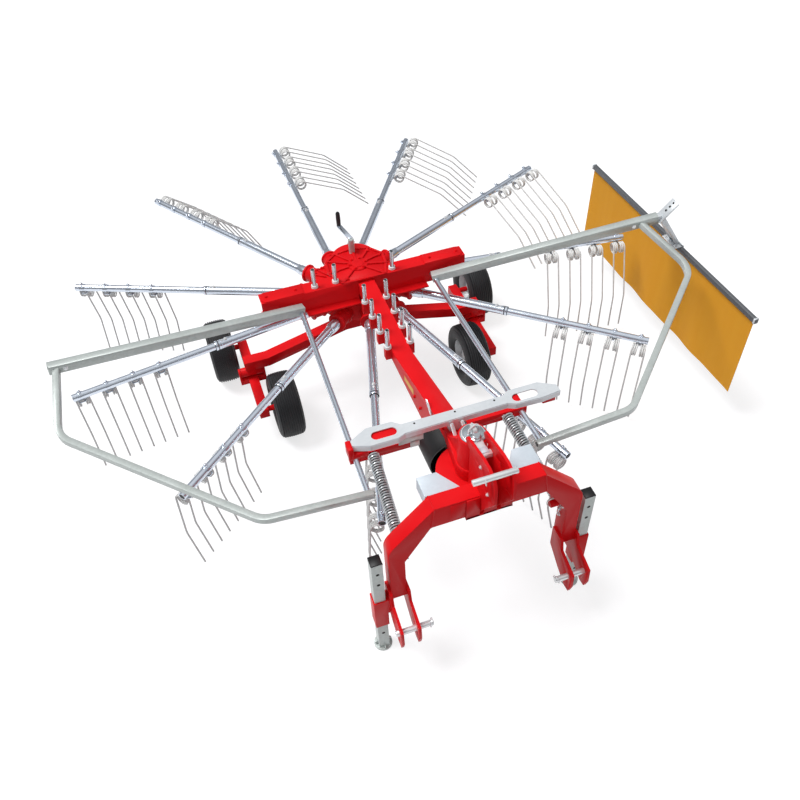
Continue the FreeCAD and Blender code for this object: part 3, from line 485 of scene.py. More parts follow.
def spots(places: Sequence[Vector], turns: Sequence[Matrix]) -> bpy.types.Mesh:
    """Mesh of single points, each with the turn of what stands on it."""
    mesh = bpy.data.meshes.new("spots")
    mesh.from_pydata(list(places), [], [])
    layer = mesh.attributes.new("turn", "FLOAT_VECTOR", "POINT")
    layer.data.foreach_set("vector", [angle for turn in turns for angle in turn.to_euler()])
    return mesh


def facing(direction: Vector, ahead: Vector | None = None) -> Matrix:
    """Turn that points local Z along direction, with local X near ahead."""
    up = direction.normalized()
    lead = ahead or (ACROSS if abs(up.x) < 0.9 else Vector((0, 1, 0)))
    side = up.cross(lead).normalized()
    return Matrix((side.cross(up), side, up)).transposed()


def bend(corner: Vector, before: Vector, after: Vector, radius: float, steps: int = 5) -> Path:
    """Points of an arc that rounds a corner of a path."""
    back = (before - corner).normalized()
    ahead = (after - corner).normalized()
    half = back.angle(ahead) / 2
    reach = radius / math.tan(half)
    centre = corner + (back + ahead).normalized() * (radius / math.sin(half))
    first = corner + back * reach - centre
    axis = back.cross(ahead)
    sweep = -(math.pi - 2 * half)
    return [centre + Matrix.Rotation(sweep * step / steps, 3, axis) @ first for step in range(steps + 1)]


def rounded(points: Path, radius: float, steps: int = 5) -> Path:
    """A path with each inner corner rounded."""
    path = [points[0]]
    for before, corner, after in zip(points, points[1:], points[2:]):
        path += bend(corner, before, after, radius, steps)
    return path + [points[-1]]


def mesh_of(name: str, parts: Shape) -> bpy.types.Mesh:
    """Close a bmesh into a mesh with its normals outwards."""
    bmesh.ops.remove_doubles(parts, verts=parts.verts, dist=WELD)
    bmesh.ops.recalc_face_normals(parts, faces=parts.faces)
    mesh = bpy.data.meshes.new(name)
    parts.to_mesh(mesh)
    parts.free()
    return mesh


def in_metres(outline: Outline) -> list[tuple[float, float]]:
    """Outline given in millimetres, in metres."""
    return [(along * MM, radius * MM) for along, radius in outline]


def disc(low: float, high: float, radius: float) -> Outline:
    """Outline of a plain disc between two heights on its axis."""
    return [(low, AXIS_R), (low, radius), (high, radius), (high, AXIS_R)]


def spin(profile: Outline, centre: Vector, axis: Vector, steps: int) -> Shape:
    """Turn a closed outline of (along, radius) points about an axis."""
    shape = bmesh.new()
    turn = facing(axis)
    corners = [shape.verts.new(centre + turn @ Vector((radius, 0, along))) for along, radius in profile]
    edges = [shape.edges.new((a, b)) for a, b in zip(corners, corners[1:] + corners[:1])]
    bmesh.ops.spin(shape, geom=corners + edges, cent=centre, axis=axis.normalized(), angle=TURN,
                   steps=steps, use_duplicate=False)
    return shape


def slab(outline: Sequence[Vector], thickness: Vector) -> Shape:
    """Plate: a flat outline pulled out by thickness."""
    shape = bmesh.new()
    face = shape.faces.new([shape.verts.new(point) for point in outline])
    pulled = bmesh.ops.extrude_face_region(shape, geom=[face])
    bmesh.ops.translate(shape, vec=thickness,
                        verts=[item for item in pulled["geom"] if isinstance(item, bmesh.types.BMVert)])
    return shape


def square_round(middle: Vector, way: Vector, width: float, height: float) -> Path:
    """Corners of a bar's cross-section.

    Args:
        middle: Its middle, in metres.
        way: The bar's direction there.
        width: Its level side, in millimetres.
        height: Its other side.

    Returns:
        Four places in metres, in order round the bar.
    """
    across = way.cross(UP).normalized() * (width / 2 * MM)
    lift = across.cross(way).normalized() * (height / 2 * MM)
    return [middle + across + lift, middle - across + lift, middle - across - lift, middle + across - lift]


def joined(shapes: Iterable[Shape]) -> Shape:
    """Put several shapes into one."""
    whole = bmesh.new()
    for shape in shapes:
        part = bpy.data.meshes.new("part")
        shape.to_mesh(part)
        shape.free()
        whole.from_mesh(part)
        bpy.data.meshes.remove(part)
    return whole


def sweep_tree() -> GeometryTree:
    """Tree that sweeps round wire or tube along edges: inputs Radius and Sides."""
    made = GeometryTree("round_bar_along_paths")
    radius = made.take("Radius")
    sides = made.take("Sides", "NodeSocketInt")
    path = add_node(made.tree, "GeometryNodeMeshToCurve", {0: made.entry.outputs[0]})
    ring = add_node(made.tree, "GeometryNodeCurvePrimitiveCircle", {
        "Resolution": sides, "Radius": radius})
    skin = add_node(made.tree, "GeometryNodeCurveToMesh", {
        "Curve": path.outputs[0], "Profile Curve": ring.outputs[0], "Fill Caps": True})
    made.close(skin.outputs[0])
    return made


def copies_tree() -> GeometryTree:
    """Tree that puts an object on every point, with its turn: input Pattern."""
    made = GeometryTree("pattern_on_spots")
    pattern = made.take("Pattern", "NodeSocketObject")
    info = add_node(made.tree, "GeometryNodeObjectInfo", {"Object": pattern})
    made.scatter(info.outputs["Geometry"])
    return made


def bolt_tree() -> GeometryTree:
    """Tree that puts a hexagon head on every point: inputs Across, Head, Washer and Rise."""
    made = GeometryTree("hexagon_bolts_on_spots")
    across = made.take("Across")
    head = made.take("Head")
    washer = made.take("Washer")
    rise = made.take("Rise")
    tree = made.tree
    plate = add_node(tree, "GeometryNodeMeshCylinder", {"Vertices": 20, "Radius": washer, "Depth": rise})
    hexagon = add_node(tree, "GeometryNodeMeshCylinder", {"Vertices": 6, "Radius": across, "Depth": head})
    narrow = add_node(tree, "ShaderNodeMath", {0: across, 1: 0.5}, operation="MULTIPLY")
    stub = add_node(tree, "GeometryNodeMeshCylinder", {
        "Vertices": 10, "Radius": narrow.outputs[0], "Depth": head})
    whole = add_node(tree, "GeometryNodeJoinGeometry")
    for share_head, share_rise, part in ((0.0, 0.5, plate), (0.5, 1.0, hexagon), (0.8, 1.0, stub)):
        first = add_node(tree, "ShaderNodeMath", {0: head, 1: share_head}, operation="MULTIPLY")
        second = add_node(tree, "ShaderNodeMath", {0: rise, 1: share_rise, 2: first.outputs[0]},
                          operation="MULTIPLY_ADD")
        height = add_node(tree, "ShaderNodeCombineXYZ", {2: second.outputs[0]})
        lift = add_node(tree, "GeometryNodeTransform", {
            0: part.outputs["Mesh"], "Translation": height.outputs[0]})
        tree.links.new(lift.outputs[0], whole.inputs[0])
    made.scatter(whole.outputs[0])
    return made


@dataclass
class Kit:
    """The geometry trees that several sub-assemblies share."""

    sweep: GeometryTree = field(default_factory=sweep_tree)
    copies: GeometryTree = field(default_factory=copies_tree)
    bolts: GeometryTree = field(default_factory=bolt_tree)


@dataclass
class Machine:
    """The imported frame, and places on it in millimetres from the rotor's axis and the floor."""

    frame: dict[str, Any]
    kit: Kit
    axis: Vector = field(init=False)

    def __post_init__(self) -> None:
        """Find the rotor's axis in the record."""
        self.axis = Vector((*self.joint("rotor_spin")["pos_m"][:2], 0))

    def joint(self, name: str) -> dict[str, Any]:
        """The record's joint of that name."""
        return next(joint for joint in self.frame["joints"] if joint["name"] == name)

    def at(self, x: float, y: float, z: float) -> Vector:
        """Place of a point given in millimetres."""
        return self.axis + Vector((x, y, z)) * MM

    def bar(self, start: Place, end: Place, radius: float, steps: int = 18,
            edge: float = 0.0) -> Shape:
        """Round bar between two places.

        Args:
            start: Middle of one end, in millimetres on the machine.
            end: Middle of the other end.
            radius: Its radius in millimetres.
            steps: Faces around it.
            edge: Width of the bevel at both ends, in millimetres.

        Returns:
            The bar's faces.
        """
        first = self.at(*start)
        way = self.at(*end) - first
        length = way.length / MM
        outline = [(0, AXIS_R), (0, radius - edge), (edge, radius), (length - edge, radius),
                   (length, radius - edge), (length, AXIS_R)]
        return self.turned(start, way, outline, steps)

    def turned(self, centre: Place, axis: Vector, outline: Outline, steps: int = 20) -> Shape:
        """Outline of (along, radius) in millimetres, turned about an axis through centre."""
        single = [point for place, point in enumerate(outline) if place == 0 or point != outline[place - 1]]
        return spin(in_metres(single), self.at(*centre), axis, steps)

    def brick(self, low: Place, high: Place) -> Shape:
        """Block between two corners in millimetres."""
        first = self.at(*low)
        last = self.at(*high)
        outline = [first, Vector((last.x, first.y, first.z)), Vector((last.x, last.y, first.z)),
                   Vector((first.x, last.y, first.z))]
        return slab(outline, Vector((0, 0, last.z - first.z)))

    def beam(self, start: Place, end: Place, width: float, height: float) -> Shape:
        """Square-edged bar between two places, all in millimetres."""
        first = self.at(*start)
        way = self.at(*end) - first
        return slab(square_round(first, way, width, height), way)

    def plate(self, outline: Sequence[Place], thickness: Place) -> Shape:
        """Flat plate from its corners, pulled out by thickness, all in millimetres."""
        return slab([self.at(*corner) for corner in outline], Vector(thickness) * MM)

    def flat(self, outlines: Sequence[Outline], low: float, thickness: float) -> Shape:
        """Level plate with holes.

        Args:
            outlines: Its edge and then each hole, as (x, y) in millimetres.
            low: Height of its underside.
            thickness: Its thickness.

        Returns:
            The plate's faces.
        """
        curve = bpy.data.curves.new("flat", "CURVE")
        curve.dimensions = "2D"
        curve.fill_mode = "BOTH"
        curve.extrude = thickness / 2 * MM
        for outline in outlines:
            spline = curve.splines.new("POLY")
            spline.points.add(len(outline) - 1)
            for point, (x, y) in zip(spline.points, outline):
                point.co = (*self.at(x, y, 0), 1)
            spline.use_cyclic_u = True
        shape = bmesh.new()
        shape.from_mesh(bpy.data.meshes.new_from_object(bpy.data.objects.new("flat", curve)))
        bmesh.ops.translate(shape, verts=shape.verts, vec=(0, 0, (low + thickness / 2) * MM))
        return shape

    def rib(self, start: Place, end: Place, width: float, height: float) -> Shape:
        """Upright rib on the line from start to end, in millimetres."""
        way = Vector((end[0] - start[0], end[1] - start[1], 0)).normalized() * (width / 2)
        outline = [(x - side * way.y, y + side * way.x, z)
                   for (x, y, z), side in ((start, 1), (start, -1), (end, -1), (end, 1))]
        return self.plate(outline, (0, 0, height))

    def tube(self, path: Path, side: float) -> Shape:
        """Square tube along a path of points in metres, with one flat side up."""
        shape = bmesh.new()
        rings = []
        for place, point in enumerate(path):
            run = (path[min(place + 1, len(path) - 1)] - path[max(place - 1, 0)]).normalized()
            rings.append([shape.verts.new(corner) for corner in square_round(point, run, side, side)])
        for last, ring in zip(rings, rings[1:]):
            for turn in range(4):
                after = (turn + 1) % 4
                shape.faces.new((last[turn], last[after], ring[after], ring[turn]))
        shape.faces.new(rings[0])
        shape.faces.new(rings[-1])
        bmesh.ops.recalc_face_normals(shape, faces=shape.faces)
        return shape

    def ring(self, centre: Place, axis: Vector, radius: float) -> Path:
        """Points of a wire ring around an axis through centre."""
        turn = facing(axis)
        steps = 18
        angles = [TURN * step / steps for step in range(steps + 1)]
        return [self.at(*centre) + turn @ Vector((radius * math.cos(angle), radius * math.sin(angle), 0)) * MM
                for angle in angles]

    def wires(self, name: str, paths: Sequence[Path], finish: Finish, body: str, radius: float) -> None:
        """Bend round wire along each path and let it ride on a body."""
        made = self.kit.sweep.make(polyline(paths), name, finish, Radius=radius * MM, Sides=8)
        self.keep(made, body, finish.slot)

    def add(self, name: str, shapes: Sequence[Shape], finish: Finish, body: str,
            soft_mm: float = 0.0, angle_deg: float = 40.0, nodes: Sequence[str] = (), slot: str = "") -> None:
        """Join shapes into one finished piece that rides on a body.

        Args:
            name: Name of the piece.
            shapes: Its faces.
            finish: Its finish.
            body: The body that it moves with.
            soft_mm: Width of its rounded edges.
            angle_deg: Without rounding, edges sharper than this stay sharp.
            nodes: The CAD nodes that it stands for.
            slot: Its slot, where that isn't the finish's own; not used.
        """
        made = self.piece(name, joined(shapes), finish, soft_mm, angle_deg)
        self.keep(made, body, slot or finish.slot, *nodes)

    def heads(self, name: str, places: Sequence[Place], finish: Finish, body: str, across: float,
              axes: Sequence[Vector] = (), lead: Vector | None = None, slot: str = "") -> None:
        """Hexagon bolt heads on washers that ride on a body.

        Args:
            name: Name of the piece.
            places: Where they sit, in millimetres.
            finish: Their finish.
            body: The body that they move with.
            across: Radius of a head.
            axes: Which way each one points, if that isn't up.
            lead: Where one corner of each head points.
            slot: Their slot, where that isn't the finish's own; not used.
        """
        turns = [facing(axis, lead) for axis in axes or [UP] * len(places)]
        where = spots([self.at(*place) for place in places], turns)
        made = self.kit.bolts.make(where, name, finish, angle_deg=30, Across=across * MM,
                                   Head=across * 0.75 * MM, Washer=across * 1.35 * MM,
                                   Rise=across * 0.22 * MM)
        self.keep(made, body, slot or finish.slot)

    def points(self, node: str) -> np.ndarray:
        """A node's corners in metres."""
        mesh = self.frame["nodes"][node].data
        flat = np.empty(len(mesh.vertices) * 3)
        mesh.vertices.foreach_get("co", flat)
        return flat.reshape(-1, 3)

    def dress(self, node: str, finish: Finish) -> None:
        """Give a node's own shape its finish."""
        for slot in self.frame["nodes"][node].material_slots:
            slot.material = finish.material()

    def keep(self, piece: bpy.types.Object, body: str, slot: str, *nodes: str) -> bpy.types.Object:
        """Let a piece ride on a body and stand for nodes."""
        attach(piece, body)
        if nodes:
            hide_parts(*nodes)
        return piece

    def piece(self, name: str, shape: Shape, finish: Finish, soft_mm: float = 0.0,
              angle_deg: float = 40.0) -> bpy.types.Object:
        """Make a finished object from a shape.

        Args:
            name: Name of the piece.
            shape: Its faces.
            finish: Its finish.
            soft_mm: Width of the rounded edges.
            angle_deg: Edges sharper than this stay sharp, or are rounded.

        Returns:
            The piece, a plain mesh.
        """
        made = placed(name, mesh_of(name, shape))
        made.data.materials.append(finish.material())
        if soft_mm:
            made.data.shade_smooth()
            edge = made.modifiers.new("edges", "BEVEL")
            edge.width = soft_mm * MM
            edge.segments = 2
            edge.limit_method = "ANGLE"
            edge.angle_limit = math.radians(BEVEL_DEG)
            edge.harden_normals = True
            return settle(made, 75)
        return settle(made, angle_deg)

    def soften(self, node: str, width_mm: float, finish: Finish, body: str, slot: str = "") -> None:
        """Stand for a node with its own shape, its flat faces whole and its edges rounded.

        Args:
            node: The CAD node.
            width_mm: Width of the rounded edges.
            finish: The piece's finish.
            body: The body that it moves with.
            slot: Its slot, where that isn't the finish's own; not used.
        """
        shape = bmesh.new()
        shape.from_mesh(self.frame["nodes"][node].data)
        bmesh.ops.remove_doubles(shape, verts=shape.verts, dist=WELD)
        flat = math.radians(FLAT_DEG)
        bmesh.ops.dissolve_limit(shape, angle_limit=flat, verts=shape.verts, edges=shape.edges)
        made = self.piece(node + "_rounded", shape, finish, soft_mm=width_mm)
        self.keep(made, body, slot or finish.slot, node)


# ---------------------------------------------------------------- rotor
@dataclass
class Rotor:
    """Tine arms with their double tines, clamps and caps, and the drum that carries them."""

    machine: Machine
    arms: int = 11
    tines_per_arm: int = 4
    pitch: float = 140.0
    tip_gap: float = 40.0
    wire: float = 4.75
    coil_r: float = 30.0
    coil_turns: int = 2
    coil_steps: int = 34
    coil_drop: float = 53.0
    coil_trail: float = 26.0
    leg_x: float = 34.2
    inner_x: float = 9.8
    loop_gap: float = 0.6
    loop_ahead: float = 4.0
    knee_r: float = 120.0
    bend_drop: float = 348.0
    bend_trail: float = 77.0
    tip_drop: float = 573.0
    tip_trail: float = 22.0
    tip_share: float = 0.985
    arm_r: float = 20.0
    arm_tip: float = 1650.0
    carrier_r: float = 24.5
    carrier_end: float = 880.0
    socket_r: float = 46.0
    socket_end: float = 318.0
    hub_half: float = 52.0
    strap_half: float = 14.0
    strap_gap: float = 0.2
    strap_wall: float = 3.0
    strap_from: float = 20.0
    strap_sweep: float = 140.0
    nut_r: float = 8.5
    nut_rise: float = 8.0
    under_plate_edge: Outline = ((-17, -13), (17, -13), (20, 4), (12, 19), (-12, 19), (-20, 4))
    under_bolt_r: float = 9.5
    cap: Outline = ((-6, 1), (-6, 15.8), (-0.4, 15.8), (-1.2, 13), (-2, 1))
    root_collar: Outline = ((0, 24.6), (0, 31), (38, 31), (44, 28), (58, 28), (60, 24.6))
    root_collar_at: float = 330.0
    lock_pin_out: float = 25.0
    mouth_bead: Outline = ((-30, 24.7), (-29, 26), (-20, 26), (-18, 24.7))
    mouth_collar: Outline = ((-12, 24.7), (-10, 26.3), (-1, 26.3), (1.5, 25), (1.5, 20.4))
    seam_ring: Outline = ((-17, 24.6), (-17, 25.2), (-13, 25.2), (-13, 24.6))
    mouth_seam: Outline = ((1.6, 20.1), (1.6, 25), (3.2, 23), (3.2, 20.1))
    mouth_bolt_back: float = 60.0
    rim: Outline = ((0, 45.5), (0, 51), (3, 53), (11, 53), (14, 51), (14, 45.5))
    rims_back: tuple[float, ...] = (76.0, 14.0)
    hub_bolts: Outline = ((38, 0), (92, 30), (92, -30))
    rib_reach: tuple[float, float] = (150.0, 226.0)
    rib_offsets: tuple[float, ...] = (-46.0, 0.0, 46.0)
    rib_taper: float = 0.4
    lines: list[tuple[Vector, Vector, Vector]] = field(init=False)

    def __post_init__(self) -> None:
        """Find the arms' axes."""
        self.lines = [self.arm_line(index) for index in range(1, self.arms + 1)]

    def half_wire(self) -> Path:
        """One leg and its coil, from the tip to the middle of the clamp's loop.

        Returns:
            Points with x along the arm, y ahead of it and z above it, in metres.
        """
        slope = math.hypot(self.bend_drop - self.coil_drop, self.bend_trail - self.coil_trail)
        turn = math.atan2(self.bend_trail - self.coil_trail, self.bend_drop - self.coil_drop)
        lean = turn - math.asin(self.coil_r / slope)
        tip = Vector((self.leg_x, -self.tip_trail, -self.tip_drop))
        knee = Vector((self.leg_x, -self.bend_trail, -self.bend_drop))
        path = [tip, *bend(knee, tip, self.on_coil(lean, self.leg_x), self.knee_r, steps=4)]
        last = math.pi / 2 + self.coil_turns * TURN
        for step in range(self.coil_steps + 1):
            share = step / self.coil_steps
            path.append(self.on_coil(lean + (last - lean) * share,
                                     self.leg_x + (self.inner_x - self.leg_x) * share))
        level = -self.arm_r - self.wire - self.loop_gap
        for step in range(4):
            angle = math.pi / 2 * step / 3
            path.append(Vector((self.inner_x * math.cos(angle),
                                self.loop_ahead + self.inner_x * math.sin(angle), level)))
        return [point * MM for point in path]

    def on_coil(self, angle: float, x: float) -> Vector:
        """Point of the coil at an angle, x millimetres along the arm."""
        return Vector((x, -self.coil_trail - self.coil_r * math.cos(angle),
                       -self.coil_drop + self.coil_r * math.sin(angle)))

    def arm_line(self, index: int) -> tuple[Vector, Vector, Vector]:
        """Find an arm's axis in its node.

        Args:
            index: The arm's number, from 1.

        Returns:
            Its inner and its outer end in metres, and its direction outwards.
        """
        points = self.machine.points(f"tine_arm_{index:02d}")
        centre = points.mean(axis=0)
        along = np.linalg.svd(points - centre, full_matrices=False)[2][0]
        out = Vector(centre) - self.machine.axis
        if Vector(along).dot(Vector((out.x, out.y, 0))) < 0:
            along = -along
        along[2] = 0
        along /= np.linalg.norm(along)
        side = np.array([-along[1], along[0], 0.0])
        middle = side * (np.ptp(points @ side) / 2 + (points @ side).min())
        height = (points[:, 2].max() + points[:, 2].min()) / 2
        reach = points @ along
        start, end = (Vector(along * value + middle) + Vector((0, 0, height))
                      for value in (reach.min(), reach.max()))
        return start, end, (end - start).normalized()

    def arm_turn(self, index: int) -> Matrix:
        """Turn of an arm's double tines: x along the arm, z away from the tines' tips."""
        start, _, outward = self.lines[index - 1]
        points = self.machine.points(f"tines_{index:02d}") - np.array(start)
        off = points - np.outer(points @ np.array(outward), np.array(outward))
        size = np.linalg.norm(off, axis=1)
        tips = Vector(off[size > size.max() * self.tip_share].mean(axis=0))
        sideways = UP.cross(outward)
        seen = math.atan2(tips.z, tips.dot(sideways))
        plain = math.atan2(-self.tip_drop, -self.tip_trail)
        upright = Matrix((outward, sideways, UP)).transposed()
        return Matrix.Rotation(seen - plain, 3, outward) @ upright

    def places(self, index: int) -> Path:
        """Middle of each double tine on an arm's axis."""
        _, end, outward = self.lines[index - 1]
        return [end - outward * (self.tip_gap + self.pitch * number) * MM
                for number in range(self.tines_per_arm)]

    def build_tines(self) -> None:
        """Make each arm's spring wires and let them stand for its tines."""
        kit = self.machine.kit
        half = self.half_wire()
        whole = half + [Vector((-point.x, point.y, point.z)) for point in reversed(half[:-1])]
        pattern = kit.sweep.make(polyline([whole]), "double_tine", WIRE, Radius=self.wire * MM, Sides=8)
        for index in range(1, self.arms + 1):
            spotted = spots(self.places(index), [self.arm_turn(index)] * self.tines_per_arm)
            wires = kit.copies.make(spotted, f"tine_wires_{index:02d}", WIRE, angle_deg=60, Pattern=pattern)
            self.machine.keep(wires, "rotor", "tine_wire", f"tines_{index:02d}")
        bpy.data.objects.remove(pattern)
        LOG.info("double tines: %d arms with %d each", self.arms, self.tines_per_arm)

    def build_clamps(self) -> None:
        """Make the strap, the bolt and the domed nut that hold each double tine."""
        kit = self.machine.kit
        clamp = joined([self.strap(), self.domed_nut(), self.under_plate()])
        pattern = self.machine.piece("clamp", clamp, BRIGHT_ZINC, angle_deg=35)
        where: Path = []
        turns: list[Matrix] = []
        for index in range(1, self.arms + 1):
            where += self.places(index)
            turns += [self.arm_turn(index)] * self.tines_per_arm
        clamps = kit.copies.make(spots(where, turns), "tine_clamps", BRIGHT_ZINC, angle_deg=35,
                                 Pattern=pattern)
        bpy.data.objects.remove(pattern)
        self.machine.keep(clamps, "rotor", "galvanised")
        LOG.info("clamps: %d", len(where))

    def strap(self) -> Shape:
        """Half shell over the arm, under the nut."""
        shape = bmesh.new()
        outer = []
        inner = []
        inner_r = self.arm_r + self.strap_gap
        steps = 8
        for step in range(steps + 1):
            angle = math.radians(self.strap_from + self.strap_sweep * step / steps)
            for ring, radius in ((outer, inner_r + self.strap_wall), (inner, inner_r)):
                y = radius * math.cos(angle)
                z = radius * math.sin(angle)
                ring.append([shape.verts.new(Vector((x, y, z)) * MM)
                             for x in (-self.strap_half, self.strap_half)])
        for ring in (outer, inner):
            for a, b in zip(ring, ring[1:]):
                shape.faces.new((a[0], a[1], b[1], b[0]))
        for side in (0, 1):
            for a, b, c, d in zip(outer, outer[1:], inner[1:], inner):
                shape.faces.new((a[side], b[side], c[side], d[side]))
        for end in (0, -1):
            shape.faces.new((outer[end][0], outer[end][1], inner[end][1], inner[end][0]))
        return shape

    def domed_nut(self) -> Shape:
        """Washer and domed nut on the strap."""
        low = self.arm_r + 2.5
        high = low + self.nut_rise
        outline = [(low, AXIS_R), (low, 11), (low + 2, 11), (low + 2.4, 9.5), (high, 9.5)]
        for step in range(1, 6):
            angle = math.pi / 2 * step / 5
            outline.append((high + self.nut_rise * math.sin(angle),
                            max(self.nut_r * math.cos(angle), AXIS_R)))
        return spin(in_metres(outline), Vector((0, 0, 0)), UP, steps=14)

    def under_plate(self) -> Shape:
        """Plate and bolt head that press the wire's loop against the arm."""
        level = -(self.arm_r + 2 * self.wire + 2 * self.loop_gap)
        plate_thick = 4
        head_thick = 7
        corners = [Vector((x, y, level)) * MM for x, y in self.under_plate_edge]
        head = [Vector((self.under_bolt_r * math.cos(angle), self.under_bolt_r * math.sin(angle),
                        level - plate_thick)) * MM for angle in (TURN * step / 6 for step in range(6))]
        return joined([slab(corners, Vector((0, 0, -plate_thick * MM))),
                       slab(head, Vector((0, 0, -head_thick * MM)))])

    def build_tubes(self) -> None:
        """Finish the arms and carriers, with a cap in each arm's end and a collar on each carrier."""
        for index in range(1, self.arms + 1):
            self.machine.dress(f"tine_arm_{index:02d}", BRIGHT_ZINC)
        self.machine.dress("arm_carriers", BRIGHT_ZINC)
        caps = []
        collars = []
        pins: Path = []
        for start, end, outward in self.lines:
            caps.append(spin(in_metres(self.cap), end, outward, steps=20))
            foot = end - outward * (end - start).length
            reach = (foot - self.machine.axis).dot(outward)
            root = foot - outward * (reach - self.root_collar_at * MM)
            collars.append(spin(in_metres(self.root_collar), root, outward, steps=24))
            pins.append(foot + outward * (self.lock_pin_out * MM) + UP * self.carrier_r * MM)
        self.machine.add("arm_caps", caps, BLACK, "rotor")
        self.machine.add("carrier_collars", collars, BRIGHT_ZINC, "rotor")
        heads = self.machine.kit.bolts.make(
            spots(pins, [facing(UP)] * self.arms), "arm_lock_pins", PIN_STEEL, angle_deg=30,
            Across=5 * MM, Head=3 * MM, Washer=7 * MM, Rise=1 * MM)
        self.machine.keep(heads, "rotor", "galvanised")
        LOG.info("arm tubes: caps, collars and pins")

    def build_joints(self) -> None:
        """Rolled collar where each arm leaves its carrier, and dark rings of painted shade in the gap there.
        """
        machine = self.machine
        collars = []
        seams = []
        heads: list[Place] = []
        for _, end, outward in self.lines:
            mouth = end - outward * (self.arm_tip - self.carrier_end) * MM
            middle = (mouth - machine.axis) / MM
            collars += [machine.turned(middle, outward, outline)
                        for outline in (self.mouth_bead, self.mouth_collar)]
            # The seams are thin dark rings: painted shade in the gap between arm and carrier.
            seams += [machine.turned(middle, outward, outline)
                      for outline in (self.seam_ring, self.mouth_seam)]
            head = middle - outward * self.mouth_bolt_back
            heads.append((head.x, head.y, head.z + self.carrier_r))
        machine.add("carrier_mouths", collars, BRIGHT_ZINC, "rotor", angle_deg=30)
        machine.add("carrier_seams", seams, PAINTED_SHADE, "rotor")
        machine.heads("carrier_bolts", heads, PIN_STEEL, "rotor", across=7.5)

    def build_hub(self) -> None:
        """Round the drum and add its ribs, its socket rims and their bolts."""
        machine = self.machine
        machine.soften("rotor_hub", 5.0, CAST_RED, "rotor")
        rims = []
        ribs = []
        heads: list[Place] = []
        for _, end, outward in self.lines:
            foot = (end - outward * self.arm_tip * MM - machine.axis) / MM
            for back in self.rims_back:
                outline = [(self.socket_end - back + along, radius) for along, radius in self.rim]
                rims.append(machine.turned(foot, outward, outline, steps=28))
            side = Vector((-outward.y, outward.x, 0))
            for back, offset in self.hub_bolts:
                head = foot + outward * (self.socket_end - back) + side * offset
                lift = self.hub_half if offset else self.socket_r
                heads.append((head.x, head.y, head.z + lift))
            near, far = self.rib_reach
            top = foot.z + self.hub_half - 2
            for offset in self.rib_offsets:
                inner = foot + outward * near + side * offset * self.rib_taper
                outer = foot + outward * far + side * offset
                ribs.append(machine.rib((inner.x, inner.y, top), (outer.x, outer.y, top), width=8, height=12))
        machine.add("socket_rims", rims, CAST_RED, "rotor", angle_deg=30)
        machine.add("drum_ribs", ribs, CAST_RED, "rotor", soft_mm=2.5)
        machine.heads("socket_bolts", heads, RED, "rotor", across=9.0)
        LOG.info("drum")

    def build(self) -> None:
        """Make the whole rotor."""
        self.build_tines()
        self.build_clamps()
        self.build_tubes()
        self.build_joints()
        self.build_hub()


